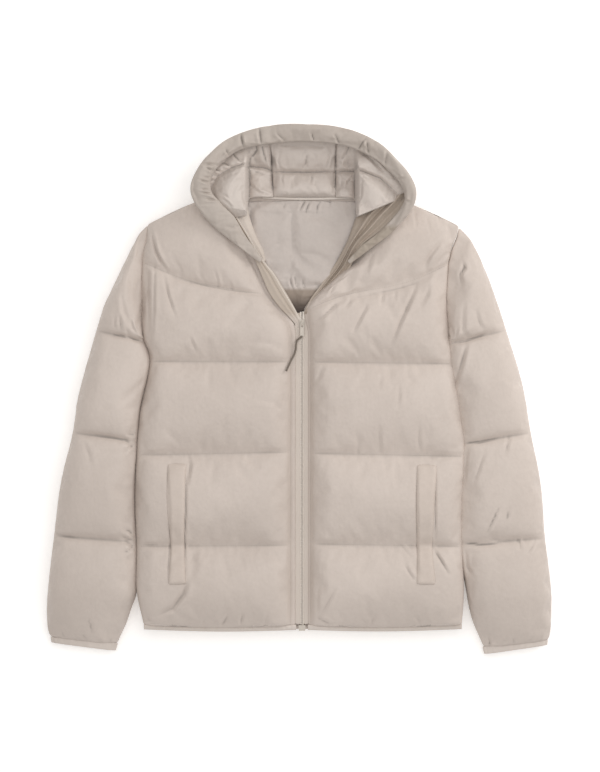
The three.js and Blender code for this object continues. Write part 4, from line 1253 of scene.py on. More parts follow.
crumple(
    front_cloth_left,
    [
        fold(4.0, 3.2, (183, 168), (172.4, 142), (157.8, 110.3), (139, 65)),
        fold(3.0, 3.0, (106, 139), (94, 116), (80, 89)),
        fold(3.0, 4.0, (204.3, 168), (199, 150), (187, 132)),
        fold(3.0, 3.4, (222, 238), (205.6, 216.4), (194, 197)),
        fold(2.4, 3.4, (234, 223), (224.2, 209.7), (214, 199)),
        fold(3.0, 3.0, (62, 142), (52, 135), (33.1, 116.9), (16, 108)),
        fold(2.2, 2.6, (79, 147), (75, 138), (68, 131)),
        fold(2.0, 2.6, (129, 154), (128, 144), (127, 134)),
        fold(1.6, 2.6, (150, 160), (149, 150), (147, 142)),
        fold(2.2, 3.0, (207, 182), (181.7, 171), (144.6, 159), (102.1, 151), (70.3, 145), lift=-0.4),
        fold(2.4, 2.0, (46, 168), (42, 162), (38.5, 156)),
        fold(2.4, 2.0, (53, 169), (48, 161), (42.5, 150), lift=-0.6),
        fold(1.2, 5.0, (108, 214), (98, 186), (86, 160)),
        fold(1.4, 3.0, (112, 219), (108, 200), (103, 182)),
        fold(2.0, 3.0, (34, 36), (26, 18), (12, 2)),
        fold(1.6, 3.0, (155.2, 6), (154.5, -12), (152, -29)),
        fold(1.2, 3.0, (129, 26), (125, 14), (122, 2)),
        fold(2.0, 3.0, (123, -60), (123.6, -80), (126.5, -102)),
        fold(2.0, 3.0, (187, -58), (186.5, -80), (188.5, -102)),
        fold(1.4, 3.0, (89, -76), (90, -90), (90, -102)),
        fold(3.4, 1.6, (182.4, -124), (183, -190), (184.2, -240), (185, -306), lift=0.2),
        fold(3.4, 1.6, (214.6, -124), (212.8, -160), (212.6, -200), (213.4, -246), lift=0.2),
        fold(3.0, 2.4, (210, -253), (222, -272), (236, -296)),
        fold(2.2, 2.6, (164, -278), (172, -292), (180, -304)),
        fold(2.8, 2.2, (24, -364), (38, -371), (52, -377)),
        fold(2.2, 2.6, (54, -316), (40, -342), (26, -367)),
        fold(1.8, 2.6, (27, -312), (25, -336), (25, -362)),
        fold(1.6, 2.6, (158, -247), (170, -262), (178, -268)),
        fold(1.8, 2.6, (110, -379), (112, -370), (118, -360)),
        fold(1.8, 2.6, (190, -379), (186, -368), (178, -360)),
    ],
)

# %% Sleeve folds
crumple(
    sleeve_cloth_right,
    [
        fold(3.2, 2.6, (-254, 78), (-266, 80), (-276, 86), (-280, 98)),
        fold(2.4, 2.4, (-276, 84), (-290, 88), (-304, 86), lift=0.3),
        fold(2.2, 2.4, (-274, 116), (-270, 100), (-264, 88)),
        fold(1.8, 2.4, (-291, 120), (-289, 104), (-288, 92)),
        fold(1.8, 2.4, (-298, 118), (-299, 96)),
        fold(2.0, 3.6, (-272, 100), (-284, 126), (-288, 156)),
        fold(2.0, 3.6, (-262, 120), (-266, 150), (-262, 182)),
        fold(3.0, 2.2, (-262, -66), (-272, -72), (-284, -68)),
        fold(3.0, 2.2, (-264, -84), (-276, -92), (-284, -102)),
        fold(2.8, 3.0, (-266, -96), (-274, -88), (-284, -78)),
        fold(2.4, 3.0, (-276, -84), (-300, -76), (-336, -70), lift=0.3),
        fold(3.2, 2.2, (-268, -236), (-276, -226), (-284, -222)),
        fold(3.2, 2.2, (-268, -246), (-276, -256), (-286, -262)),
        fold(3.0, 2.2, (-270, -240), (-282, -236), (-294, -230), lift=-0.5),
        fold(2.8, 3.0, (-266, -262), (-272, -250), (-286, -238)),
        fold(2.0, 3.0, (-398, -220), (-390, -231), (-360, -236), lift=0.3),
        fold(1.6, 3.6, (-350, -80), (-340, -100), (-336, -122)),
        fold(2.2, 2.4, (-342, -364), (-338, -378), (-336, -392)),
        fold(2.0, 2.0, (-368, -392), (-360, -398), (-352, -404)),
        fold(2.0, 2.0, (-354, -390), (-348, -398), (-340, -404)),
        fold(2.0, 2.0, (-332, -396), (-326, -400), (-318, -408)),
        fold(2.0, 2.0, (-314, -396), (-308, -402), (-302, -408)),
        fold(1.8, 2.0, (-388, -386), (-384, -392), (-380, -400)),
    ],
    turn=(0.7, 1.3),
)
crumple(
    sleeve_cloth_left,
    [
        fold(4.6, 2.8, (257.5, 204), (260, 195), (252.5, 184.5), (255, 169)),
        fold(2.4, 3.6, (258.6, 140), (257, 116), (257.3, 94.4), (266, 82)),
        fold(2.0, 3.2, (277, 132), (282.5, 107.6), (292, 93)),
        fold(3.4, 2.8, (242.7, 73), (261.3, 77.1), (280, 84), (294, 92), lift=0.35),
        fold(5.0, 3.6, (263, 74), (256, 48), (246, 14), (243, 4)),
        fold(2.6, 2.6, (249, 101), (246, 90), (245, 77)),
        fold(3.0, 2.6, (336, 74), (330, 70), (320, 66)),
        fold(3.4, 2.8, (262, -84), (284, -84), (312, -78), lift=0.35),
        fold(2.6, 2.2, (265, -94), (262, -120), (261, -146)),
        fold(2.0, 2.6, (292, -98), (282, -128), (272, -154)),
        fold(2.4, 2.8, (331, -74), (328, -88), (324.5, -103)),
        fold(3.6, 2.6, (258, -243), (284, -248), (300, -247), (316, -247), lift=0.35),
        fold(2.6, 2.6, (316, -184), (306, -206), (291, -236)),
        fold(2.0, 2.4, (331, -190), (328, -202), (324, -214)),
        fold(2.4, 2.2, (345, -236), (348, -246), (350, -256)),
        fold(2.4, 2.2, (373, -242), (368, -252), (361, -261)),
        fold(2.6, 2.4, (262, -260), (265, -284), (277, -302)),
        fold(2.6, 2.2, (337, -396), (340, -404), (340, -412)),
        fold(2.6, 2.2, (299, -396), (302, -406), (303, -413)),
        fold(2.0, 2.0, (372, -396), (366, -402), (358, -408)),
        fold(2.0, 2.0, (330, -398), (324, -404), (316, -410)),
        fold(2.0, 2.0, (310, -400), (304, -406), (298, -412)),
        fold(1.8, 2.0, (388, -392), (384, -398), (380, -404)),
    ],
    turn=(0.7, 1.3),
)

# %% Hood folds
def band_fold(at, reach, depth, width, lean=0.0, lift=0.6):
    """A fold across the roll that starts at its inner line."""
    points = []
    for step in range(4):
        across = lerp(-0.06, reach, step / 3)
        place = at + lean * step / 3
        x = lerp(band.read("in_x", place), band.read("out_x", place), across)
        y = lerp(band.read("in_y", place), band.read("out_y", place), across)
        points.append((x, y))
    return fold(depth, width, *points, lift=lift)


crumple(
    hood_roll,
    [
        band_fold(3.2, 0.5, 3.0, 1.8, 0.1),
        band_fold(3.7, 0.55, 3.2, 1.8, 0.1),
        band_fold(4.1, 0.5, 3.4, 1.8, -0.1),
        band_fold(4.5, 0.6, 3.2, 1.8, 0.1),
        band_fold(4.9, 0.5, 3.0, 1.8, -0.1),
        band_fold(5.3, 0.6, 3.2, 2.0, 0.1),
        band_fold(5.75, 1.0, 3.6, 2.4, -0.25),
        band_fold(6.4, 0.5, 2.6, 2.0, 0.2),
        band_fold(7.1, 1.0, 3.4, 2.4, 0.3, lift=-0.6),
        band_fold(7.7, 1.0, 3.2, 2.4, 0.25),
        band_fold(8.5, 0.6, 2.4, 2.2, -0.2),
        band_fold(9.3, 0.6, 2.6, 2.0, -0.1),
        band_fold(9.95, 0.6, 2.8, 2.0, -0.2),
        band_fold(10.5, 0.9, 3.4, 2.2, 0.15, lift=-0.6),
        band_fold(10.95, 0.9, 3.4, 2.2, -0.3),
        band_fold(11.75, 1.0, 3.6, 2.4, -0.3),
        band_fold(12.6, 0.5, 2.6, 2.0, 0.2),
        band_fold(14.3, 0.5, 2.2, 2.0, 0.1),
        band_fold(1.4, 0.7, 1.6, 3.0, 0.4),
    ],
    ripple=0.3,
    grain=22,
    deep=1.0,
)
crumple(
    hood_back,
    [
        fold(2.6, 2.4, (-47, 350.5), (0, 350.5), (55, 350.5), lift=0.3),
        fold(2.4, 2.0, (-2, 352), (6, 364), (8, 378)),
        fold(2.0, 1.8, (12, 349), (16, 340), (14, 330)),
        fold(1.8, 2.0, (-34, 352), (-38, 366), (-36, 380)),
        fold(1.8, 2.0, (36, 352), (42, 364), (46, 378)),
        fold(1.6, 1.8, (-30, 349), (-32, 338), (-30, 326)),
        fold(2.2, 1.6, (50, 312), (50, 330), (51, 348)),
    ],
    ripple=0.3,
    grain=20,
    deep=1.0,
)
crumple(
    hood_right,
    [
        fold(
            3.6,
            2.4,
            *[(-47, 352), (-63, 357.6), (-86.6, 359), (-96, 360), (-115, 353.4), (-135, 341), (-147, 322)],
        ),
        fold(3.2, 2.2, (-87, 362), (-82, 372), (-72, 384), (-74, 398)),
        fold(3.0, 2.0, (-56, 358), (-60, 376), (-64, 392), lift=-0.6),
        fold(3.0, 2.0, (-96, 362), (-106, 372), (-112, 380)),
        fold(3.0, 2.0, (-112, 356), (-124, 362), (-132, 362)),
        fold(3.0, 1.8, (-128, 348), (-138, 352), (-143, 350)),
        fold(2.8, 1.8, (-136, 342), (-146, 342), (-150, 338)),
        fold(3.0, 1.8, (-138, 336), (-148, 334), (-153, 330)),
        fold(3.0, 2.2, (-88, 338), (-80, 326), (-68, 316), (-52, 312)),
        fold(2.4, 2.0, (-80, 352), (-68, 348), (-54, 344)),
        fold(2.0, 1.8, (-126, 304), (-118, 298), (-112, 290)),
        fold(2.0, 1.8, (-132, 312), (-122, 310), (-116, 304), lift=-0.5),
    ],
    ripple=0.4,
    grain=20,
    deep=1.0,
)
crumple(
    hood_left,
    [
        fold(3.4, 2.2, (54, 350), (72, 351.5), (91, 350.7), (124, 338.4), (150, 316)),
        fold(3.4, 2.8, (88, 344), (86.6, 326), (86.4, 304), (87, 284)),
        fold(3.0, 2.4, (76, 392), (70, 378), (58, 362)),
        fold(2.6, 2.4, (90, 384), (112, 366), (128, 348), lift=-0.6),
        fold(2.6, 2.4, (100, 378), (122, 358), (140, 338)),
        fold(2.0, 2.0, (64, 314), (63, 330), (63, 346)),
        fold(2.4, 2.0, (68, 318), (74, 334), (84, 346)),
        fold(2.0, 1.8, (92, 348), (98, 340), (108, 336)),
    ],
    ripple=0.4,
    grain=20,
    deep=1.0,
)
crumple(
    neck_lining,
    [
        fold(2.2, 2.4, (6, 304), (1, 296), (-5, 284)),
        fold(2.2, 2.4, (14, 304), (9, 294), (6, 283)),
        fold(2.0, 2.4, (30, 304), (25, 294), (24, 282)),
        fold(1.4, 2.6, (44, 303), (42, 292)),
        fold(1.2, 2.6, (-26, 301), (-30, 288)),
        fold(2.4, 2.2, (-14, 160), (-17, 170), (-19, 180)),
        fold(2.4, 2.2, (-6, 160), (-10, 172), (-12, 184)),
        fold(2.2, 2.2, (4, 160), (2, 170), (1, 180)),
        fold(0.5, 3.0, (-16, 300), (-15, 240), (-15, 166)),
    ],
    ripple=0.25,
    grain=26,
    deep=1.0,
)

# %% [markdown]
# The back
#
# The back is the jacket's underside. It carries the weight, so it is flat where it touches
# the table, and its quilting lines show there as shallow channels. Its edge rounds up to
# the side seams, and its shoulders rise to the neck.

# %% Back panel
SHOULDER_SHAPE = Sections(
    "rise",
    [(0, 0), (0.1, 0.34), (0.315, 1), (0.385, 0.772), (0.615, 0.772), (0.685, 1), (0.9, 0.34), (1, 0)],
)
BACK_ACROSS = 65
BACK_UNDER = 13
BACK_ROWS = 111
BACK_WIDTH = 510
BACK_HEM = -378
BACK_TOP = 30
SHOULDER_RISE = 59.5
CHANNEL_HEIGHT = 72
BACK_EDGE_RADIUS, BACK_EDGE_RISE = 30, 26
GROOVE_DEPTH, GROOVE_WIDTH = 5, 7


def back_point(u, at):
    x = lerp(front_right.read("side_x", at), front_left.read("side_x", at), u)
    level = lerp(front_right.read("side_y", at), front_left.read("side_y", at), u)
    y = level + SHOULDER_SHAPE.read("rise", u) * SHOULDER_RISE * ease(at - 4)
    gaps = (min(u, 1 - u) * BACK_WIDTH, y - BACK_HEM, (5 - at) * 60)
    edge = min(rounding(gap, BACK_EDGE_RADIUS) for gap in gaps)
    channel = abs(at - round(at)) * CHANNEL_HEIGHT
    groove = GROOVE_DEPTH * math.exp(-((channel / GROOVE_WIDTH) ** 2)) if 0.5 < at < 4.5 else 0
    return x, y, max(BACK_EDGE_RISE * (1 - edge), groove)


def back_place(i, j):
    at = 5 * j / (BACK_ROWS - 1)
    if i < BACK_ACROSS:
        return back_point(i / (BACK_ACROSS - 1), at)
    x, y = back_point(1 - (i - BACK_ACROSS) / (BACK_UNDER - 1), at)[:2]
    return x, y, BACK_TOP


back_cloth = fine_skin("back_cloth", BACK_ACROSS + BACK_UNDER, BACK_ROWS, back_place, shell_cloth)

# %% [markdown]
# Laying one piece on another
#
# Welts and stitches lie on cloth that has already settled, so their height can't be
# known beforehand. A search tree over the settled mesh answers one question quickly: how
# high is the surface above this point of the table?

# %% Surface finder


def surface_of(piece):
    """A function that gives the height of a piece's upper side at x, y, in millimetres."""
    shape = bmesh.new()
    shape.from_mesh(piece.data)
    tree = BVHTree.FromBMesh(shape)
    shape.free()

    def height(x, y, otherwise=FRONT_BASE):
        hit = tree.ray_cast(Vector((x * MM, y * MM, 1)), Vector((0, 0, -1)))[0]
        return hit.z / MM if hit else otherwise

    return height


right_surface = surface_of(front_cloth_right)
left_surface = surface_of(front_cloth_left)

# %% Pocket welts
WELT_FROM, WELT_TO = 0.55, 1.9
WELT_ACROSS = {"right": (0.205, 0.32), "left": (0.185, 0.31)}
WELT_COLUMNS, WELT_ROWS = 13, 61
# How much narrower a welt is at its waist, as a share of the front, and how far it swells.
WELT_WAIST, WELT_CROWN = 0.012, 2.6


def welt(name, sections, margin, across, surface):
    def place(i, j):
        below = i >= WELT_COLUMNS
        step = 2 * WELT_COLUMNS - 1 - i if below else i
        at = lerp(WELT_FROM, WELT_TO, j / (WELT_ROWS - 1))
        waist = WELT_WAIST * math.exp(-(((at - 1) / 0.35) ** 2))
        u = lerp(across[0] + waist, across[1] - 1.2 * waist, step / (WELT_COLUMNS - 1))
        x, y = front_point(sections, margin, u, at)[:2]
        side = min(step, WELT_COLUMNS - 1 - step) / 3
        end = min(j, WELT_ROWS - 1 - j) / 2
        crown = WELT_CROWN * rounding(min(side, end), 1)
        return x, y, surface(x, y) + (0.15 if below else 0.6 + crown)

    return fine_skin(name, 2 * WELT_COLUMNS, WELT_ROWS, place, welt_cloth)


welt_right = welt(
    "pocket_welt_right_cloth", front_right, MARGIN["right"], WELT_ACROSS["right"], right_surface
)
welt_left = welt(
    "pocket_welt_left_cloth", front_left, MARGIN["left"], WELT_ACROSS["left"], left_surface
)

# %% [markdown]
# Facings
#
# Where the zip lies open, its inner side turns up and shows the facing: a strip of the
# lining cloth that runs from the slider up into the hood. On the left front it is wide and
# falls into long folds. It is a thin skin between an outer and an inner line, with the
# folds drawn lengthwise.

# %% Facings
FACING_COLUMNS = "outer_x outer_y outer_z inner_x inner_y inner_z"
facing_left = Sections(
    FACING_COLUMNS,
    [
        (0, 8, 121, 38, 2.6, 123, 37.2),
        (1, 25, 141, 36.4, 13, 145, 36.2),
        (2, 51, 169, 36.8, 34, 174, 36.2),
        (3, 76, 195, 40, 53, 202, 36.2),
        (4, 95, 230, 55, 71, 236, 36.2),
        (5, 128, 256, 57, 81, 262, 36.2),
        (6, 153, 279, 60, 87, 277, 37),
        (7, 172, 301, 64, 104, 290, 44),
        (8, 176, 318, 65, 131, 305, 49),
    ],
)
facing_right = Sections(
    FACING_COLUMNS,
    [
        (0, -63, 204, 38.4, -58, 207, 36.2),
        (1, -72, 221, 40.5, -62, 224, 36.2),
        (2, -86, 243, 46, -73, 247, 36.2),
        (3, -102, 270, 50, -84, 279, 37),
        (4, -116, 288, 55, -88, 304, 39),
    ],
)
FACING_STRIPS = 33
FACING_THICK = 1.2


def facing(name, sections, last, rows, steep, folds, cloth):
    """A strip with folds along it, each the middle, the half width and the height of a fold."""

    def place(i, j):
        below = i >= FACING_STRIPS
        step = 2 * FACING_STRIPS - 1 - i if below else i
        t, at = step / (FACING_STRIPS - 1), last * j / (rows - 1)
        read = sections.read
        x = lerp(read("inner_x", at), read("outer_x", at), t)
        y = lerp(read("inner_y", at), read("outer_y", at), t)
        z = lerp(read("inner_z", at), read("outer_z", at), t**steep)
        width = abs(read("outer_x", at) - read("inner_x", at))
        for middle, half, high in folds:
            z += high * min(width / 30, 1) * math.exp(-(((t - middle) / half) ** 2)) * ease(4 * min(t, 1 - t))
        return x, y, z - (FACING_THICK if below else 0)

    return fine_skin(name, 2 * FACING_STRIPS, rows, place, cloth)


facing_cloth_left = facing(
    "front_facing_left_cloth",
    facing_left,
    last=8,
    rows=121,
    steep=0.36,
    folds=[(0.3, 0.07, 5.5), (0.42, 0.05, -4), (0.58, 0.07, 6), (0.8, 0.07, -3.5)],
    cloth=facing_cloth,
)
facing_cloth_right = facing(
    "front_facing_right_cloth",
    facing_right,
    last=4,
    rows=41,
    steep=0.5,
    folds=[(0.5, 0.14, 2)],
    cloth=strip_cloth,
)

# %% [markdown]
# Bindings and piping
#
# Each raw edge is closed by a narrow elastic binding, folded over the edge and stitched. The
# elastic draws the cloth in, so the binding is finely gathered. A ring across it is its
# folded section, and the gathers are a ripple along it that never repeats exactly.

# %% Hem bindings
HEM_SECTION = [(-4.6, 0), (-4.6, 4.8), (-2.6, 6.9), (2, 6.4), (4, 5.4), (5.2, 3.4), (5.2, 0.6), (4.6, 0)]
HEM_ROWS = 181
HEM_CLEAR = 0.4


def gather(along, depth):
    """A ripple for gathered elastic at a place along it, in millimetres."""
    small = noise.noise(Vector((along / 2.4, 3.7, 0)))
    broad = noise.noise(Vector((along / 6.0, 9.1, 0)))
    return depth * (small + 0.6 * broad)


def hem_binding(name, edge, base, way):
    def place(i, j):
        x, y = edge(j / (HEM_ROWS - 1))
        out, up = HEM_SECTION[i]
        ripple = gather(x, 0.9) * (up > 1)
        return x, y - HEM_CLEAR - out, base + way * up * (1 if way > 0 else 1.6) + way * ripple

    return fine_skin(name, len(HEM_SECTION), HEM_ROWS, place, binding_cloth)


hem_right = hem_binding(
    "hem_binding_right_knit", lambda u: front_point(front_right, MARGIN["right"], u, 0)[:2], FRONT_BASE, 1
)
hem_left = hem_binding(
    "hem_binding_left_knit", lambda u: front_point(front_left, MARGIN["left"], u, 0)[:2], FRONT_BASE, 1
)
hem_back = hem_binding("hem_binding_back_knit", lambda u: back_point(u, 0)[:2], BACK_TOP, -1)

# %% Cuff bindings
CUFFS = {
    "right": Sections(
        "outer_x outer_y inner_x inner_y half",
        [(0, -405, -396.5, -296, -406.5, 8), (1, -403.5, -407, -300, -420.5, 7)],
    ),
    "left": Sections(
        "outer_x outer_y inner_x inner_y half",
        [(0, 396, -401, 290, -412, 8), (1, 395, -411, 293.5, -426, 7)],
    ),
}
CUFF_AROUND = 120
CUFF_ROWS = 9
CUFF_WIDTH = 106
CUFF_MIDDLE = 12


def cuff_binding(name, table):
    rings = []
    for j in range(CUFF_ROWS):
        at = j / (CUFF_ROWS - 1)
        read = table.read
        ends = ((read("outer_x", at), read("outer_y", at)), (read("inner_x", at), read("inner_y", at)))
        half = read("half", at) * (0.86 + 0.14 * rounding(min(at, 1 - at), 0.3))
        rings.append(ring_of(CUFF_MIDDLE, half, half, ends, CUFF_AROUND))

    def place(i, j):
        x, y, z, across = rings[j][i]
        return x, y, z + gather(across * CUFF_WIDTH + 7 * (i > CUFF_AROUND / 2), 1.1)

    return fine_skin(name, CUFF_AROUND, CUFF_ROWS, place, binding_cloth)


cuff_right = cuff_binding("cuff_binding_right_knit", CUFFS["right"])
cuff_left = cuff_binding("cuff_binding_left_knit", CUFFS["left"])

# %% Neck piping
PIPING_AROUND = 12
PIPING_ROWS = 61
PIPING_FROM, PIPING_TO = -64, 81
PIPING_RADIUS = 2.2


def piping_place(i, j):
    x = lerp(PIPING_FROM, PIPING_TO, j / (PIPING_ROWS - 1))
    angle = 2 * math.pi * (i + 0.5) / PIPING_AROUND
    y = NECK_Y - 2.5 + 2.5 * ((x - 8) / 72) ** 2
    up = FRONT_BASE + PIPING_RADIUS + PIPING_RADIUS * math.sin(angle)
    return x, y + PIPING_RADIUS * math.cos(angle), up


piping = fine_skin("neck_piping_cloth", PIPING_AROUND, PIPING_ROWS, piping_place, piping_cloth)

# %% [markdown]
# The zip
#
# Each side of the zip is a woven tape with a nylon coil along its inner edge. Below the
# slider the coils mesh on the jacket's middle line, above it each tape follows its own
# front. The tape is a skin read from a table. The coil is a row of small bevelled teeth
# that are placed along the same line and turned with it.

# %% Zip tapes
TAPE_Z = 34
TAPE_STEPS = 60
TAPE_STRAIGHT = 2
TAPE_OPENS, TAPE_OPEN_RUN = 2.8, 1.4
TAPE_COLUMNS = "outer inner y outer_y outer_z inner_z"
tape_right = Sections(
    TAPE_COLUMNS,
    [
        (0, 8.2, 0.3, -376.4, -376.4, 0, 0),
        (2, 11.8, 0.3, 99, 99, 0, 0),
        (3, 12.6, 1.8, 110.5, 106, 0, 0),
        (4, 18, 4.4, 118, 113.5, 2.6, 0.1),
        (5, 37, 17, 142, 133, 6, 3),
        (6, 53, 31, 166, 155, 7, 4),
        (7, 64, 44, 187, 180, 8, 5),
        (8, 74, 58, 203, 204, 10, 6),
        (9, 86, 72, 223, 228, 13, 11),
        (10, 98, 84, 244, 250, 18, 18),
        (11, 108, 94, 261, 266, 22, 22),
        (12, 117, 104, 277, 282, 24, 24),
    ],
)
tape_left = Sections(
    TAPE_COLUMNS,
    [
        (0, 8.2, 0.3, -376.4, -376.4, 0, 0),
        (2, 11.8, 0.3, 99, 99, 0, 0),
        (3, 9.4, 1.8, 110.5, 107, 0, 0),
        (4, 7.4, 2, 117, 114, 0, 0),
    ],
)
# Across, up, and how far each point rises or sinks where the tape lies open in folds.
TAPE_SECTION = [
    (0, 0, 0),
    (0, 1.2, 0),
    (0.28, 1.4, 0),
    (0.4, 1.4, 1.8),
    (0.5, 1.4, 1.8),
    (0.58, 1.4, -1),
    (0.63, 1.4, -1),
    (0.7, 1.4, 0.8),
    (0.8, 0.9, 0.8),
    (1, 0.9, 0),
    (1, 0.1, 0),
    (0.68, 0, 0),
]


def tape_read(table, column, at):
    """The straight stretch is read as a line, the rest as a curve."""
    if at <= TAPE_STRAIGHT:
        straight = {"outer": 11.8, "inner": 0.3, "outer_z": 0, "inner_z": 0}
        return straight.get(column, lerp(-376.4, 99, at / TAPE_STRAIGHT))
    return table.read(column, at)


def tape_point(table, side, at, across, up):
    def read(column):
        return tape_read(table, column, at)

    x = side * lerp(read("outer"), read("inner"), across)
    y = lerp(read("outer_y"), read("y"), across)
    return x, y, TAPE_Z + lerp(read("outer_z"), read("inner_z"), across) + up


def zip_tape(name, table, side, last):
    stops = [TAPE_STRAIGHT * k / TAPE_STEPS for k in range(TAPE_STEPS)]
    stops += [TAPE_STRAIGHT + (last - TAPE_STRAIGHT) * k / TAPE_STEPS for k in range(TAPE_STEPS + 1)]

    def place(i, j):
        across, up, fold_rise = TAPE_SECTION[i]
        open_share = ease((stops[j] - TAPE_OPENS) / TAPE_OPEN_RUN)
        return tape_point(table, side, stops[j], across, up + fold_rise * open_share)

    return fine_skin(name, len(TAPE_SECTION), len(stops), place, tape_cloth)


tape_cloth_right = zip_tape("zip_tape_right_weave", tape_right, -1, 12)
tape_cloth_left = zip_tape("zip_tape_left_weave", tape_left, 1, 4)

# %% Zip coil
TOOTH_PITCH = 1.9
TOOTH_SIZE = (2.6, 1.25, 2.2)
TOOTH_BEVEL = 0.35
COIL_ACROSS, COIL_UP = 0.895, 0.9
COIL_STEPS = 4000


def zip_coil(name, table, side, last):
    """A row of small bevelled teeth along a tape's inner line."""
    shape = bmesh.new()
    places = [last * k / COIL_STEPS for k in range(COIL_STEPS + 1)]
    line = [Vector(tape_point(table, side, at, COIL_ACROSS, COIL_UP)) for at in places]
    travelled, due = 0.0, 0.0 if side > 0 else TOOTH_PITCH / 2
    for a, b in zip(line, line[1:]):
        travelled += (b - a).length
        if travelled < due:
            continue
        due += TOOTH_PITCH
        turn = (b - a).to_track_quat("Y", "Z").to_matrix().to_4x4()
        size = Matrix.Diagonal((*(measure * MM for measure in TOOTH_SIZE), 1))
        tooth = bmesh.ops.create_cube(shape, size=1, matrix=Matrix.Translation(b * MM) @ turn @ size)
        edges = {edge for vert in tooth["verts"] for edge in vert.link_edges}
        upright = [edge for edge in edges if max(v.co.z for v in edge.verts) > b.z * MM]
        bmesh.ops.bevel(
            shape, geom=upright, offset=TOOTH_BEVEL * MM, segments=1, profile=0.5, affect="EDGES", material=-1
        )
    piece = as_piece(name, shape, coil_nylon)
    print(name, len(piece.data.polygons), "faces")
    return piece


coil_right = zip_coil("zip_coil_right", tape_right, -1, 12)
coil_left = zip_coil("zip_coil_left", tape_left, 1, 4)

# %% [markdown]
# Stitching
#
# Real thread is what makes a seam read as a seam. Each stitch is a small bead sunk into the
# cloth, about three millimetres long with a gap after it. They follow a line on a settled
# surface, and all the stitches of one piece are joined in one mesh.

# %% Stitches


def stitches(name, lines, surface, length=2.6, pitch=3.6, thick=0.55, sink=0.1):
    shape = bmesh.new()
    for line in lines:
        travelled, due = 0.0, pitch / 2
        for (ax, ay), (bx, by) in zip(line, line[1:]):
            part = math.hypot(bx - ax, by - ay)
            while travelled + part > due:
                t = (due - travelled) / part
                x, y = lerp(ax, bx, t), lerp(ay, by, t)
                dx, dy = (bx - ax) / part * length / 2, (by - ay) / part * length / 2
                start = Vector((x - dx, y - dy, surface(x - dx, y - dy) + thick / 2 - sink))
                end = Vector((x + dx, y + dy, surface(x + dx, y + dy) + thick / 2 - sink))
                turn = (end - start).to_track_quat("Z", "Y").to_matrix().to_4x4()
                middle = Matrix.Translation((start + end) / 2 * MM)
                size = Matrix.Diagonal((thick / 2 * MM, thick / 2 * MM, length / 2 * MM, 1))
                bmesh.ops.create_icosphere(shape, subdivisions=1, radius=1, matrix=middle @ turn @ size)
                due += pitch
            travelled += part
    piece = as_piece(name, shape, thread_finish)
    piece.data.polygons.foreach_set("use_smooth", [True] * len(piece.data.polygons))
    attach(piece, "jacket")
    print(name, len(piece.data.polygons), "faces")
    return piece


def seam_line(sections, margin, at, start=0.03, end=0.95):
    return [front_point(sections, margin, lerp(start, end, k / 60), at)[:2] for k in range(61)]


def edge_line(sections, inside, low, high):
    points = []
    for k in range(121):
        at = lerp(low, high, k / 120)
        side_x, edge_x = sections.read("side_x", at), sections.read("edge_x", at)
        side = 1 if edge_x > side_x else -1
        points.append((edge_x - side * inside, sections.read("edge_y", at)))
    return points


stitches(
    "front_right_stitching",
    [seam_line(front_right, MARGIN["right"], at) for at in (1, 2, 3, 4)]
    + [edge_line(front_right, 9.5, 0.02, 3.4), edge_line(front_right, 2.0, 0.02, 3.4)],
    right_surface,
)
stitches(
    "front_left_stitching",
    [seam_line(front_left, MARGIN["left"], at) for at in (1, 2, 3, 4)]
    + [edge_line(front_left, 5, 0.02, 3.9)],
    left_surface,
)
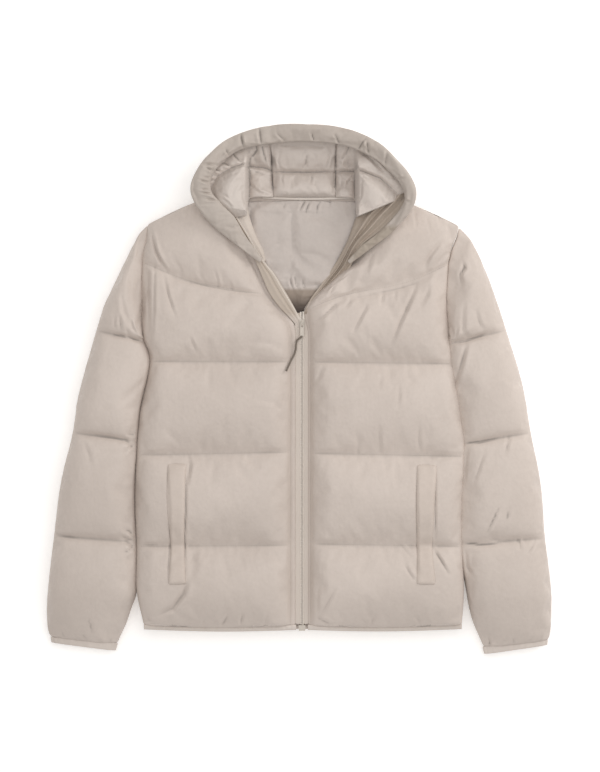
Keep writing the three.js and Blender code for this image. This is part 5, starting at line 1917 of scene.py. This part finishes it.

# %% [markdown]
# Handing over
#
# Each piece now rides on the body that carries it, and the solid it stands for is hidden. The
# slider, its pull and the box at the foot of the zip are hard parts whose solids are right
# already, so they only get their finish.

# %% Hand over
STANDS_FOR = [
    (front_cloth_right, "front_right_panel", "shell_nylon"),
    (front_cloth_left, "front_left_panel", "shell_nylon"),
    (back_cloth, "back_panel", "shell_nylon"),
    (sleeve_cloth_right, "sleeve_right", "shell_nylon"),
    (sleeve_cloth_left, "sleeve_left", "shell_nylon"),
    (hood_roll, "hood_band", "shell_nylon"),
    (hood_back, "hood_centre_panel", "lining_nylon"),
    (hood_right, "hood_side_right", "lining_nylon"),
    (hood_left, "hood_side_left", "lining_nylon"),
    (neck_lining, "back_lining", "lining_nylon"),
    (facing_cloth_left, "front_facing_left", "lining_nylon"),
    (facing_cloth_right, "front_facing_right", "lining_nylon"),
    (welt_right, "pocket_welt_right", "shell_nylon"),
    (welt_left, "pocket_welt_left", "shell_nylon"),
    (hem_right, "hem_binding_right", "binding"),
    (hem_left, "hem_binding_left", "binding"),
    (hem_back, "hem_binding_back", "binding"),
    (cuff_right, "cuff_binding_right", "binding"),
    (cuff_left, "cuff_binding_left", "binding"),
    (piping, "neck_piping", "binding"),
    (tape_cloth_right, "zip_tape_right", "zip_tape"),
    (tape_cloth_left, "zip_tape_left", "zip_tape"),
]
for piece, node, slot in STANDS_FOR:
    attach(piece, "jacket")
    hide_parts(node)
for piece in (coil_right, coil_left):
    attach(piece, "jacket")
for piece in padded_cloths[:-1] + [back_cloth]:
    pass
for node in ("zip_slider", "zip_pull_tab", "zip_box"):
    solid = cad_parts[node]
    solid.data.materials.clear()
    solid.data.materials.append(zip_paint)


def cloth_area(piece):
    """Half the surface of a closed skin, in square metres."""
    return sum(face.area for face in piece.data.polygons) / 2


# Each sheet: its flat size, the area of its cut if that isn't a rectangle, and how it lies on what.
SHEETS = [
    (neck_lining, (0.18, 0.19), 0.0225, "stretched", ["back_cloth"]),
    (facing_cloth_left, (0.09, 0.27), 0.0094, "folded", ["front_left_cloth"]),
    (facing_cloth_right, (0.03, 0.115), 0.0021, "laid", ["front_right_cloth"]),
    (welt_right, (0.032, 0.196), None, "laid", ["front_right_cloth"]),
    (welt_left, (0.032, 0.196), None, "laid", ["front_left_cloth"]),
    (hem_right, (0.016, 0.247), None, "gathered", ["front_right_cloth"]),
    (hem_left, (0.016, 0.247), None, "gathered", ["front_left_cloth"]),
    (hem_back, (0.02, 0.51), None, "gathered", ["back_cloth"]),
]
for piece, flat, area, held, rests_on in SHEETS:
    print(piece.name, "area", round(cloth_area(piece), 5), "cut", round(area or flat[0] * flat[1], 5))
    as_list(rests_on)

# %% Sizes
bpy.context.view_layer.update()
for low, high in zip(*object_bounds()):
    print(round(low, 4), round(high, 4))
